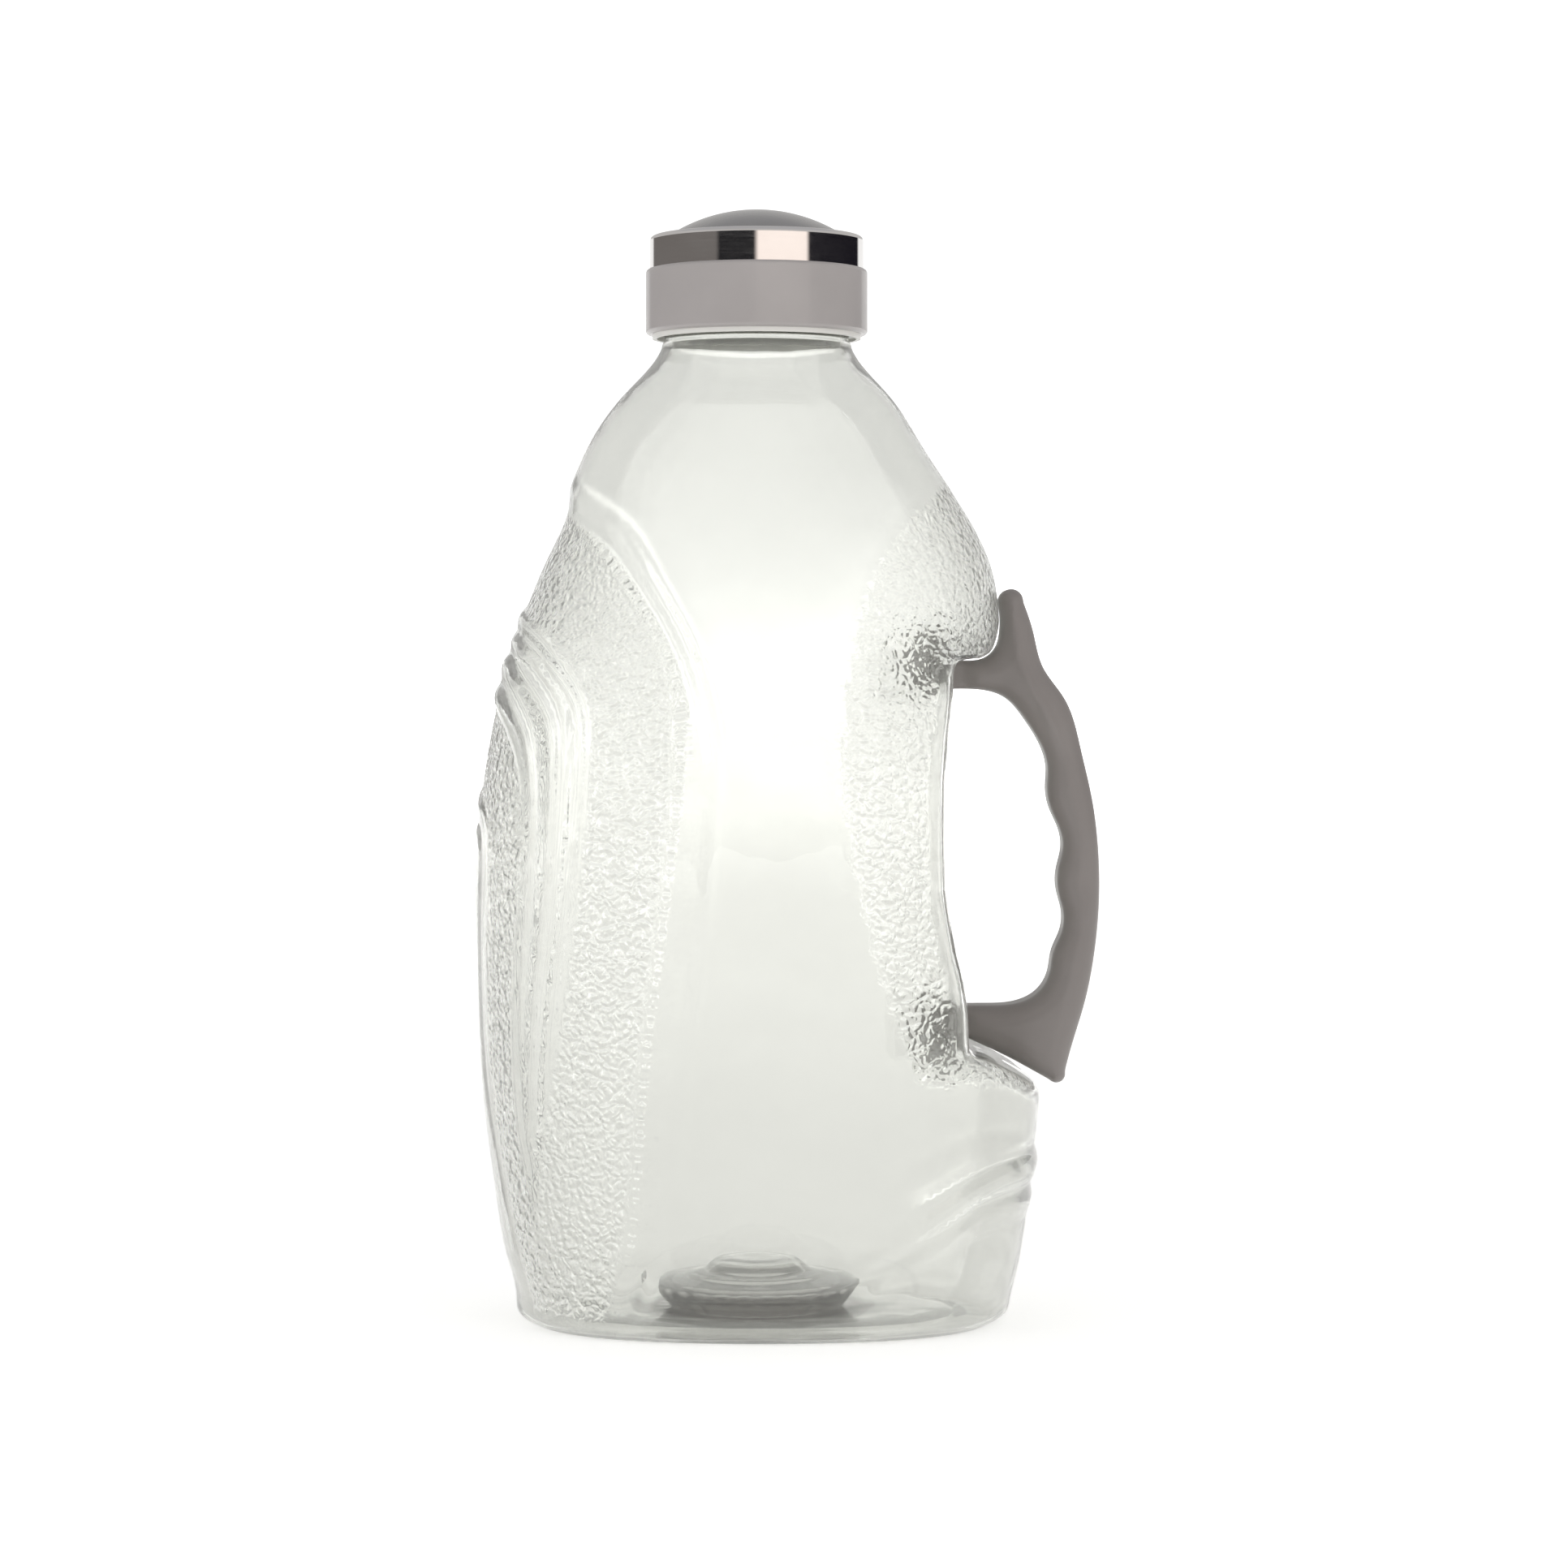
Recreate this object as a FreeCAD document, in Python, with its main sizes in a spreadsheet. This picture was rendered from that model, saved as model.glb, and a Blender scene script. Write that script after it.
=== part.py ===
import FreeCAD, Part
import math
import os

import Sketcher

# Large clear water jug with a screw cap and a fixed side handle.  Millimetres, +Z up.
# The origin is on the neck axis, in the plane of the foot.  +X points to the handle,
# -X to the front, and the jug is symmetric about the XZ plane.

doc = FreeCAD.newDocument("water_jug")
sheet = doc.addObject("Spreadsheet::Sheet", "Dims")

# ---------------------------------------------------------------- driving dimensions

# The body's outline: level above the foot, reach to the front, reach to the rear and
# half depth of the oval section there.
STATIONS = [
    ("foot", 0.0, 60.2, 63.2, 44.0),
    ("toe", 1.6, 63.1, 66.2, 46.8),
    ("heel", 5.5, 65.3, 68.5, 48.7),
    ("ankle", 14.0, 67.4, 70.5, 50.0),
    ("lower", 32.0, 70.6, 73.4, 52.0),
    ("belly", 62.0, 74.5, 76.6, 54.3),
    ("label", 98.0, 76.0, 77.0, 55.4),
    ("waist", 130.0, 76.4, 76.2, 55.4),
    ("chest", 158.0, 73.0, 71.4, 54.0),
    ("shoulder", 182.0, 67.0, 66.4, 50.6),
    ("upper", 202.0, 59.6, 64.0, 46.4),
    ("slope", 218.0, 53.2, 56.6, 42.0),
    ("throat", 236.0, 45.6, 44.8, 36.6),
    ("collar", 250.0, 35.8, 35.6, 31.6),
    ("flare", 259.0, 27.7, 27.7, 27.0),
    ("neck", 264.0, 25.0, 25.0, 25.0),
]

DIMS = {
    # moulded wall of the bottle
    "wall": 0.9,
    "neck_wall": 1.8,
    "floor": 1.8,
    "body_end_ratio": 0.9,
    "neck_end_ratio": 0.98,
    # neck finish
    "neck_radius": 25.0,
    "neck_top": 280.5,
    # screw thread, the same pitch on the neck and in the cap
    "thread_pitch": 5.0,
    "thread_turns": 2.0,
    "thread_depth": 1.6,
    "thread_root": 2.2,
    "thread_crest": 1.2,
    "thread_start": 269.0,
    # base push-up
    "base_rise": 2.2,
    "base_width": 53.0,
    "base_depth": 36.0,
    "dome_foot_radius": 29.0,
    "dome_brow_radius": 25.5,
    "dome_brow_level": 9.5,
    "disc_foot_radius": 15.0,
    "disc_foot_level": 11.5,
    "disc_radius": 13.5,
    "disc_level": 14.5,
    # hand recess behind the handle
    "recess_top": 178.3,
    "recess_bottom": 72.0,
    "recess_floor": 48.2,
    "recess_mouth": 54.0,
    "shelf_round": 8.0,
    "shelf_round_start": 59.5,
    # handle
    "grip_width": 19.0,
    "lug_width": 12.0,
    "lug_gap": 0.1,
    "handle_round": 3.2,
    "handle_gap": 0.3,
    # cap
    "skirt_radius": 30.0,
    "skirt_bottom": 266.2,
    "skirt_top": 283.8,
    "liner_radius": 28.2,
    "liner_bore": 27.0,
    "liner_bottom": 265.0,
    "seal_thickness": 1.5,
    "liner_top_thickness": 1.4,
    "deck_thickness": 1.6,
    "ring_radius": 28.95,
    "ring_bore": 27.7,
    "ring_top": 292.8,
    "ring_lip": 1.0,
    "ring_round": 1.3,
    "dome_radius": 24.0,
    "dome_apex": 300.0,
    "skirt_round": 1.0,
}

# The two hooked lugs that the bottle is blown around: levels and reaches in the XZ plane.
UPPER_ARM_LOW = 170.3
UPPER_ARM_HIGH = 178.0
UPPER_HOOK_TIP = 184.5
UPPER_HOOK_IN = 41.0
UPPER_HOOK_OUT = 50.0
LOWER_ARM_LOW = 76.2
LOWER_ARM_HIGH = 84.9
LOWER_HOOK_TIP = 68.5
LOWER_HOOK_IN = 45.2
LOWER_HOOK_OUT = 53.6
ARM_MOUTH = 60.0

# Small clearances and thicknesses inside the cap.
SEAL_CLEARANCE = 0.4
RIM_THICKNESS = 2.0
DOME_WALL = 2.0
LIP_GAP = 0.2
NECK_OVERRUN = 1.0

# Levels and radii that follow from the driving dimensions.
DIMS["seal_top"] = DIMS["neck_top"] + DIMS["seal_thickness"]
DIMS["liner_top"] = DIMS["seal_top"] + DIMS["liner_top_thickness"]
DIMS["deck_top"] = DIMS["liner_top"] + DIMS["deck_thickness"]
DIMS["seal_radius"] = DIMS["liner_bore"] - SEAL_CLEARANCE
DIMS["seal_bore"] = DIMS["neck_radius"] - DIMS["neck_wall"] - SEAL_CLEARANCE
DIMS["rim_radius"] = DIMS["ring_bore"]
DIMS["rim_top"] = DIMS["ring_top"] - DIMS["ring_lip"]
DIMS["rim_bore"] = DIMS["rim_radius"] - RIM_THICKNESS
DIMS["dome_base"] = DIMS["ring_top"]
DIMS["lip_bore"] = DIMS["dome_radius"] + LIP_GAP
DIMS["plug_radius"] = DIMS["rim_bore"] - LIP_GAP
DIMS["axis_line"] = 0.0
DIMS["base_front"] = DIMS["base_width"]
DIMS["base_rear"] = DIMS["base_width"]
DIMS["inner_base_front"] = DIMS["base_width"] + DIMS["wall"]
DIMS["inner_base_rear"] = DIMS["base_width"] + DIMS["wall"]
DIMS["inner_base_depth"] = DIMS["base_depth"] + DIMS["wall"]
DIMS["pit_level"] = -1.0
DIMS["recess_span"] = 130.0
DIMS["pocket_width"] = DIMS["lug_width"] + 2 * DIMS["lug_gap"]
DIMS["pocket_span"] = DIMS["pocket_width"] + 2 * DIMS["wall"]
DIMS["inner_foot_radius"] = DIMS["dome_foot_radius"] + DIMS["floor"]
DIMS["inner_rise"] = DIMS["base_rise"] + DIMS["floor"]
DIMS["inner_brow_radius"] = DIMS["dome_brow_radius"] + DIMS["floor"]
DIMS["inner_brow_level"] = DIMS["dome_brow_level"] + DIMS["floor"]
DIMS["inner_disc_foot"] = DIMS["disc_foot_radius"] + DIMS["floor"]
DIMS["inner_disc_foot_level"] = DIMS["disc_foot_level"] + DIMS["floor"]
DIMS["inner_disc_radius"] = DIMS["disc_radius"] + DIMS["floor"]
DIMS["inner_disc_level"] = DIMS["disc_level"] + DIMS["floor"]


def fill_sheet():
    """Put every dimension in the sheet, one row each, under its own name."""
    rows = list(DIMS.items())
    for name, level, front, rear, depth in STATIONS:
        rows += [(name + "_level", level), (name + "_front", front),
                 (name + "_rear", rear), (name + "_depth", depth)]
    for row, (alias, value) in enumerate(rows, start=1):
        sheet.set("A%d" % row, alias)
        sheet.set("B%d" % row, "%.4f" % value)
        sheet.setAlias("B%d" % row, "%s" % alias)
    doc.recompute()


# ---------------------------------------------------------------- helpers

# How deep a thread's tooth is rooted in its wall, and how much shorter the cap's tooth is.
THREAD_BITE = 0.4
CREST_RELIEF = 0.1
# Lengths closer than this are taken as equal, and a real cut removes more than this volume.
CLOSE = 0.01
LEAST_CUT = 1.0


def new_body(label):
    body = doc.addObject("PartDesign::Body", "body_" + label)
    body.Label = label
    return body


def origin_plane(body, role):
    for feature in body.Origin.OriginFeatures:
        if feature.Role == role:
            return feature
    raise RuntimeError("no plane " + role)


def new_sketch(body, name, role):
    sketch = body.newObject("Sketcher::SketchObject", name)
    sketch.AttachmentSupport = [(origin_plane(body, role), "")]
    sketch.MapMode = "FlatFace"
    return sketch


def bind(sketch, constraint, expression):
    """Add a dimension to a sketch and tie it to the sheet."""
    index = sketch.addConstraint(constraint)
    sketch.setExpression("Constraints[%d]" % index, expression)


def half_oval_numbers(front, rear, depth, ratio):
    """Centre, end-arc radius, side-arc radius and end-arc offset of a four-arc oval."""
    half_width = (front + rear) / 2
    end_radius = ratio * depth
    reach = half_width - end_radius
    side_radius = (reach ** 2 + depth ** 2 - end_radius ** 2) / (2 * (depth - end_radius))
    return (rear - front) / 2, end_radius, side_radius, reach


def oval_sketch(body, name, level, front, rear, depth, ratio, prefix, shrink):
    """An oval of four tangent arcs, inset by shrink, at one level of the body."""
    centre, end_radius, side_radius, reach = half_oval_numbers(front, rear, depth, ratio)
    inset = DIMS[shrink] if shrink else 0.0
    lean = math.atan2(side_radius - depth, reach)
    drop = side_radius - depth
    arcs = [
        (centre + reach, 0.0, end_radius, -lean, lean),
        (centre, -drop, side_radius, lean, math.pi - lean),
        (centre - reach, 0.0, end_radius, math.pi - lean, math.pi + lean),
        (centre, drop, side_radius, math.pi + lean, 2 * math.pi - lean),
    ]
    sketch = new_sketch(body, name, "XY_Plane")
    up = FreeCAD.Vector(0, 0, 1)
    for x, y, radius, start, end in arcs:
        circle = Part.Circle(FreeCAD.Vector(x, y, 0), up, radius - inset)
        sketch.addGeometry(Part.ArcOfCircle(circle, start, end), False)
    for index in range(4):
        sketch.addConstraint(Sketcher.Constraint("Tangent", index, 2, (index + 1) % 4, 1))
    for index in (0, 2):
        sketch.addConstraint(Sketcher.Constraint("PointOnObject", index, 3, -1))
    sketch.addConstraint(Sketcher.Constraint("Equal", 0, 2))
    sketch.addConstraint(Sketcher.Constraint("Equal", 1, 3))
    sizes = {key: "Dims.%s_%s" % (prefix, key) for key in ("front", "rear", "depth")}
    ratio_name = "Dims.neck_end_ratio" if ratio == DIMS["neck_end_ratio"] else "Dims.body_end_ratio"
    inset_text = "Dims." + shrink if shrink else "0"
    half = "((%s + %s) / 2)" % (sizes["front"], sizes["rear"])
    end = "(%s * %s)" % (ratio_name, sizes["depth"])
    side = "(((%s - %s)^2 + %s^2 - %s^2) / (2 * (%s - %s)))" % (
        half, end, sizes["depth"], end, sizes["depth"], end)
    offset = "((%s - %s) / 2 + %s - %s)" % (sizes["rear"], sizes["front"], half, end)
    bind(sketch, Sketcher.Constraint("Radius", 0, end_radius - inset), "%s - %s" % (end, inset_text))
    bind(sketch, Sketcher.Constraint("Radius", 1, side_radius - inset), "%s - %s" % (side, inset_text))
    bind(sketch, Sketcher.Constraint("DistanceX", -1, 1, 0, 3, centre + reach), offset)
    bind(sketch, Sketcher.Constraint("DistanceX", 2, 3, 0, 3, 2 * reach), "2 * (%s - %s)" % (half, end))
    sketch.AttachmentOffset = FreeCAD.Placement(FreeCAD.Vector(0, 0, level), FreeCAD.Rotation())
    return sketch


def round_sketch(body, name, level, radius_alias, shrink):
    """A circle about the neck axis, in four quarters that match the oval's four arcs."""
    inset = DIMS[shrink] if shrink else 0.0
    radius = DIMS[radius_alias] - inset
    sketch = new_sketch(body, name, "XY_Plane")
    circle = Part.Circle(FreeCAD.Vector(0, 0, 0), FreeCAD.Vector(0, 0, 1), radius)
    quarter = math.pi / 2
    for index in range(4):
        start = (index - 0.5) * quarter
        sketch.addGeometry(Part.ArcOfCircle(circle, start, start + quarter), False)
    expression = "Dims.%s" % radius_alias + (" - Dims.%s" % shrink if shrink else "")
    for index in range(4):
        sketch.addConstraint(Sketcher.Constraint("Coincident", index, 3, -1, 1))
        bind(sketch, Sketcher.Constraint("Radius", index, radius), expression)
    sketch.AttachmentOffset = FreeCAD.Placement(FreeCAD.Vector(0, 0, level), FreeCAD.Rotation())
    return sketch


def outline_sketch(body, name, points, role="XZ_Plane"):
    """A closed outline of straight lines whose corners are named sheet dimensions."""
    sketch = new_sketch(body, name, role)
    corners = [FreeCAD.Vector(DIMS[across], DIMS[up], 0) for across, up in points]
    count = len(corners)
    for index in range(count):
        sketch.addGeometry(Part.LineSegment(corners[index], corners[(index + 1) % count]), False)
    for index in range(count):
        sketch.addConstraint(Sketcher.Constraint("Coincident", index, 2, (index + 1) % count, 1))
    for index, (across, up) in enumerate(points):
        bind(sketch, Sketcher.Constraint("DistanceY", -1, 1, index, 1, DIMS[up]), "Dims." + up)
        if across == "axis_line":
            sketch.addConstraint(Sketcher.Constraint("PointOnObject", index, 1, -2))
        else:
            bind(sketch, Sketcher.Constraint("DistanceX", -1, 1, index, 1, DIMS[across]), "Dims." + across)
    return sketch


def revolve(body, name, sketch, kind="PartDesign::Revolution"):
    """Turn an outline once about the neck axis."""
    feature = body.newObject(kind, name)
    feature.Profile = sketch
    feature.ReferenceAxis = (sketch, ["V_Axis"])
    feature.Angle = 360.0
    doc.recompute()
    return feature


def circle_edges(shape, radius, level):
    """Names of the round edges of one radius at one level."""
    names = []
    for index, edge in enumerate(shape.Edges, start=1):
        if edge.Curve.TypeId != "Part::GeomCircle":
            continue
        if abs(edge.Curve.Radius - radius) < CLOSE and abs(edge.Curve.Center.z - level) < CLOSE:
            names.append("Edge%d" % index)
    return names


def round_edges(body, name, base, edges, alias):
    feature = body.newObject("PartDesign::Fillet", name)
    feature.Base = (base, edges)
    feature.Radius = DIMS[alias]
    feature.setExpression("Radius", "Dims." + alias)
    doc.recompute()
    return feature


def add_thread(body, name, radius, start, inward):
    """A screw thread of the shared pitch: a tapered tooth swept round the neck axis."""
    if inward:
        foot = radius + THREAD_BITE
        tip = radius - DIMS["thread_depth"] + CREST_RELIEF
    else:
        foot = radius - THREAD_BITE
        tip = radius + DIMS["thread_depth"]
    root = DIMS["thread_root"] / 2
    crest = DIMS["thread_crest"] / 2
    sketch = new_sketch(body, name + "_tooth", "XZ_Plane")
    corners = [FreeCAD.Vector(foot, start - root, 0), FreeCAD.Vector(tip, start - crest, 0),
               FreeCAD.Vector(tip, start + crest, 0), FreeCAD.Vector(foot, start + root, 0)]
    for index in range(4):
        sketch.addGeometry(Part.LineSegment(corners[index], corners[(index + 1) % 4]), False)
    for index in range(4):
        sketch.addConstraint(Sketcher.Constraint("Coincident", index, 2, (index + 1) % 4, 1))
    sketch.addConstraint(Sketcher.Constraint("Vertical", 1))
    sketch.addConstraint(Sketcher.Constraint("Vertical", 3))
    bind(sketch, Sketcher.Constraint("DistanceY", 1, 1, 1, 2, 2 * crest), "Dims.thread_crest")
    bind(sketch, Sketcher.Constraint("DistanceY", 3, 2, 3, 1, 2 * root), "Dims.thread_root")
    helix = body.newObject("PartDesign::AdditiveHelix", name)
    helix.Profile = sketch
    helix.ReferenceAxis = (sketch, ["V_Axis"])
    helix.Mode = 1
    helix.Pitch = DIMS["thread_pitch"]
    helix.Turns = DIMS["thread_turns"]
    helix.setExpression("Pitch", "Dims.thread_pitch")
    helix.setExpression("Turns", "Dims.thread_turns")
    doc.recompute()
    return helix


def add_pad(body, name, sketch, width_alias, kind="PartDesign::Pad"):
    """Extrude a side outline equally to both sides of the XZ plane."""
    feature = body.newObject(kind, name)
    feature.Profile = sketch
    feature.SideType = "Symmetric"
    feature.Length = DIMS[width_alias]
    feature.setExpression("Length", "Dims." + width_alias)
    doc.recompute()
    return feature


def chain_sketch(body, name, edges):
    """A closed side outline made of lines, arcs and curves laid end to end."""
    sketch = new_sketch(body, name, "XZ_Plane")
    for edge in edges:
        sketch.addGeometry(edge, False)
    return sketch


def at(across, up):
    return FreeCAD.Vector(across, up, 0)


def line(start, end):
    return Part.LineSegment(start, end)


def arc(start, middle, end):
    return Part.Arc(start, middle, end)


def curve(points):
    spline = Part.BSplineCurve()
    spline.interpolate(points)
    return spline


# ---------------------------------------------------------------- bottle

# The hand recess: level of its deepest point, fall of its bottom edge out of the body, how far
# past the handle it is cut, and how much its two ends lean.
RECESS_MIDDLE = 132.0
RECESS_LIP_LEVEL = 44.0
RECESS_CUT_REACH = 110.0
RECESS_LEAN = 2.0


def lug_outlines(grow):
    """Side outlines of the upper and the lower hooked lug, grown by an even margin."""
    outlines = []
    for arm_edge, arm_side, tip, hook_in, hook_out in (
            (UPPER_ARM_LOW, UPPER_ARM_HIGH, UPPER_HOOK_TIP, UPPER_HOOK_IN, UPPER_HOOK_OUT),
            (LOWER_ARM_HIGH, LOWER_ARM_LOW, LOWER_HOOK_TIP, LOWER_HOOK_IN, LOWER_HOOK_OUT)):
        away = grow if tip > arm_edge else -grow
        corners = [
            at(ARM_MOUTH, arm_edge - away), at(ARM_MOUTH, arm_side + away),
            at(hook_out + grow, arm_side + away), at(hook_out + grow, tip + away),
            at(hook_in - grow, tip + away), at(hook_in - grow, arm_edge - away),
        ]
        outlines.append([line(corners[i], corners[(i + 1) % 6]) for i in range(6)])
    return outlines


def recess_outline(inset):
    """Side outline of the hand recess, moved into the body by inset."""
    top = DIMS["recess_top"] + inset
    mouth_top = at(DIMS["recess_mouth"] - RECESS_LEAN - inset, top)
    floor = at(DIMS["recess_floor"] - inset, RECESS_MIDDLE)
    mouth_bottom = at(DIMS["recess_mouth"] + RECESS_LEAN - inset,
                      DIMS["recess_bottom"] + RECESS_LEAN - inset)
    lip = at(RECESS_CUT_REACH, RECESS_LIP_LEVEL - inset)
    outer = at(RECESS_CUT_REACH, DIMS["recess_top"] + DIMS["shelf_round"])
    radius = DIMS["shelf_round"] - inset
    across = DIMS["shelf_round_start"]
    up = DIMS["recess_top"] + DIMS["shelf_round"]
    brow_start = at(across, up - radius)
    brow_middle = at(across + radius * math.sin(math.pi / 4), up - radius * math.cos(math.pi / 4))
    brow_end = at(across + radius, up)
    return [
        line(outer, brow_end),
        arc(brow_end, brow_middle, brow_start),
        line(brow_start, mouth_top),
        arc(mouth_top, floor, mouth_bottom),
        line(mouth_bottom, lip),
        line(lip, outer),
    ]


PUNT_OUTLINE = [
    ("axis_line", "pit_level"), ("dome_foot_radius", "pit_level"), ("dome_foot_radius", "base_rise"),
    ("dome_brow_radius", "dome_brow_level"), ("disc_foot_radius", "disc_foot_level"),
    ("disc_radius", "disc_level"), ("axis_line", "disc_level"),
]
PUNT_INNER_OUTLINE = [
    ("axis_line", "pit_level"), ("inner_foot_radius", "pit_level"), ("inner_foot_radius", "inner_rise"),
    ("inner_brow_radius", "inner_brow_level"), ("inner_disc_foot", "inner_disc_foot_level"),
    ("inner_disc_radius", "inner_disc_level"), ("axis_line", "inner_disc_level"),
]


def jug_form(label, inner):
    """The jug's outer form, or the space inside it, one wall further in."""
    body = new_body(label)
    sections = []
    for name, level, front, rear, depth in STATIONS:
        sketch_name = label + "_" + name
        if name == "neck":
            section = round_sketch(body, sketch_name, level, "neck_radius", "neck_wall" if inner else None)
        else:
            ratio = DIMS["neck_end_ratio"] if name == "flare" else DIMS["body_end_ratio"]
            shrink = None
            if inner:
                shrink = "neck_wall" if name == "flare" else "wall"
                if name in ("foot", "toe"):
                    level += DIMS["floor"]
            section = oval_sketch(body, sketch_name, level, front, rear, depth, ratio, name, shrink)
        sections.append(section)
    loft = body.newObject("PartDesign::AdditiveLoft", label + "_loft")
    loft.Profile = sections[0]
    loft.Sections = [(section, [""]) for section in sections[1:]]
    doc.recompute()

    neck = body.newObject("PartDesign::Pad", label + "_neck")
    neck.Profile = round_sketch(body, label + "_neck_ring", STATIONS[-1][1], "neck_radius",
                                "neck_wall" if inner else None)
    overrun = NECK_OVERRUN if inner else 0.0
    neck.Length = DIMS["neck_top"] - STATIONS[-1][1] + overrun
    neck.setExpression("Length", "Dims.neck_top - Dims.neck_level + %.1f" % overrun)
    doc.recompute()

    inset = DIMS["wall"] if inner else 0.0
    recess = chain_sketch(body, label + "_recess_outline", recess_outline(inset))
    cut_feature(body, label + "_recess", recess, "recess_span")
    for index, outline in enumerate(lug_outlines(inset + DIMS["lug_gap"])):
        sketch = chain_sketch(body, "%s_lug_outline_%d" % (label, index), outline)
        cut_feature(body, "%s_lug_pocket_%d" % (label, index), sketch,
                    "pocket_span" if inner else "pocket_width")
    return body


def cut_feature(body, name, sketch, width_alias):
    """A pocket to both sides of the XZ plane, checked to have cut something."""
    before = body.Shape.Volume
    feature = add_pad(body, name, sketch, width_alias, "PartDesign::Pocket")
    if body.Shape.Volume > before - LEAST_CUT:
        raise RuntimeError(name + " cut nothing")
    return feature


def add_base(body, label, outline, prefix, rise_alias):
    """The oval step and the round stepped dome pushed up in the middle of the base."""
    before = body.Shape.Volume
    step = body.newObject("PartDesign::Pocket", label + "_base_step")
    sizes = [DIMS[prefix + end] for end in ("_front", "_rear", "_depth")]
    step.Profile = oval_sketch(body, label + "_base_oval", 0.0, *sizes,
                               DIMS["body_end_ratio"], prefix, None)
    step.Reversed = True
    step.Length = DIMS[rise_alias]
    step.setExpression("Length", "Dims." + rise_alias)
    doc.recompute()
    revolve(body, label + "_punt", outline_sketch(body, label + "_punt_outline", outline),
            "PartDesign::Groove")
    if body.Shape.Volume > before - LEAST_CUT:
        raise RuntimeError(label + " base cut nothing")


def make_bottle():
    outer = jug_form("outer_form", False)
    add_base(outer, "outer", PUNT_OUTLINE, "base", "base_rise")
    add_thread(outer, "neck_thread", DIMS["neck_radius"], DIMS["thread_start"], False)
    space = jug_form("inner_space", True)
    add_base(space, "inner", PUNT_INNER_OUTLINE, "inner_base", "inner_rise")
    bottle = doc.addObject("Part::Cut", "bottle_shell")
    bottle.Label = "bottle"
    bottle.Base = outer
    bottle.Tool = space
    doc.recompute()
    return bottle


# ---------------------------------------------------------------- handle

# Edges shorter than this, at the arms' ends and under the horn, stay sharp.
LONG_EDGE = 20.0
HORN_TIP = [(65.9, 194.2), (68.2, 197.3), (71.4, 194.2)]
HORN_BACK = [(71.4, 194.2), (74.4, 185.6), (77.2, 176.4)]
BACK_TOP = 167.9
BACK_BOTTOM = 72.0
BACK_MIDDLE = 118.0
BACK_REACH = 92.5
BACK_RADIUS = 131.0
BACK_POINTS = 6
TOE_TIP = [(83.2, 67.2), (82.4, 64.6), (79.0, 64.9)]
ARM_UNDERSIDE = [(67.8, 71.0), (56.6, LOWER_ARM_LOW)]
LOWER_BEND = [(56.2, LOWER_ARM_HIGH), (63.0, 84.9), (70.0, 85.5), (75.6, 88.2)]
UPPER_BEND = [(72.6, 162.0), (66.6, 168.3), (60.0, 170.1), (53.2, UPPER_ARM_LOW)]
SCALLOP_PITCH = 22.0
SCALLOP_DEPTH = 1.1
SCALLOP_MIDDLE = 129.4
GRIP_BOW_RADIUS = 115.0
GRIP_MIDDLE = 117.0
GRIP_INNER = 82.1
FACE_POINTS = 11
FACE_START = 6.5
ARM_CORNER = (52.6, UPPER_ARM_HIGH)
SADDLE_TURN = math.radians(65.0)


def grip_back(up):
    """Reach of the back of the grip at one level, on a wide arc."""
    return BACK_REACH - (up - BACK_MIDDLE) ** 2 / (2 * BACK_RADIUS)


def grip_face(up):
    """Reach of the finger side of the grip at one level: a bow with finger hollows."""
    bow = GRIP_INNER - (up - GRIP_MIDDLE) ** 2 / (2 * GRIP_BOW_RADIUS)
    return bow + SCALLOP_DEPTH * math.cos(2 * math.pi * (up - SCALLOP_MIDDLE) / SCALLOP_PITCH)


def handle_outline():
    """The handle's closed side outline, down its back and up its finger side."""
    spacing = (BACK_TOP - BACK_BOTTOM) / (BACK_POINTS - 1)
    back_levels = [BACK_TOP - spacing * index for index in range(BACK_POINTS)]
    back = HORN_BACK + [(grip_back(up), up) for up in back_levels] + TOE_TIP[:1]
    step = SCALLOP_PITCH / 4
    face_levels = [SCALLOP_MIDDLE + step * (index - FACE_START) for index in range(FACE_POINTS)]
    face = LOWER_BEND + [(grip_face(up), up) for up in face_levels] + UPPER_BEND
    arm_corner = at(*ARM_CORNER)
    gap = DIMS["handle_gap"]
    round_radius = DIMS["shelf_round"] + gap
    centre = (DIMS["shelf_round_start"], DIMS["recess_top"] + DIMS["shelf_round"])
    shelf_start = at(centre[0], centre[1] - round_radius)
    half_turn = SADDLE_TURN / 2
    saddle_middle = at(centre[0] + round_radius * math.sin(half_turn),
                       centre[1] - round_radius * math.cos(half_turn))
    saddle_end = at(centre[0] + round_radius * math.sin(SADDLE_TURN),
                    centre[1] - round_radius * math.cos(SADDLE_TURN))
    return [
        arc(*[at(*point) for point in HORN_TIP]),
        curve([at(*point) for point in back]),
        arc(*[at(*point) for point in TOE_TIP]),
        curve([at(*point) for point in TOE_TIP[-1:] + ARM_UNDERSIDE]),
        line(at(*ARM_UNDERSIDE[-1]), at(*LOWER_BEND[0])),
        curve([at(*point) for point in face]),
        line(at(*UPPER_BEND[-1]), arm_corner),
        line(arm_corner, shelf_start),
        arc(shelf_start, saddle_middle, saddle_end),
        line(saddle_end, at(*HORN_TIP[0])),
    ]


def make_handle():
    body = new_body("handle")
    grip = add_pad(body, "grip", chain_sketch(body, "grip_outline", handle_outline()), "grip_width")
    half = DIMS["grip_width"] / 2
    rims = []
    for index, edge in enumerate(grip.Shape.Edges, start=1):
        box = edge.BoundBox
        flat = box.YLength < CLOSE and abs(abs(box.YMin) - half) < CLOSE
        if flat and edge.Length > LONG_EDGE:
            rims.append("Edge%d" % index)
    round_edges(body, "grip_rounds", grip, rims, "handle_round")
    for index, outline in enumerate(lug_outlines(0.0)):
        add_pad(body, "lug_%d" % index, chain_sketch(body, "lug_outline_%d" % index, outline), "lug_width")
    return body


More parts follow.
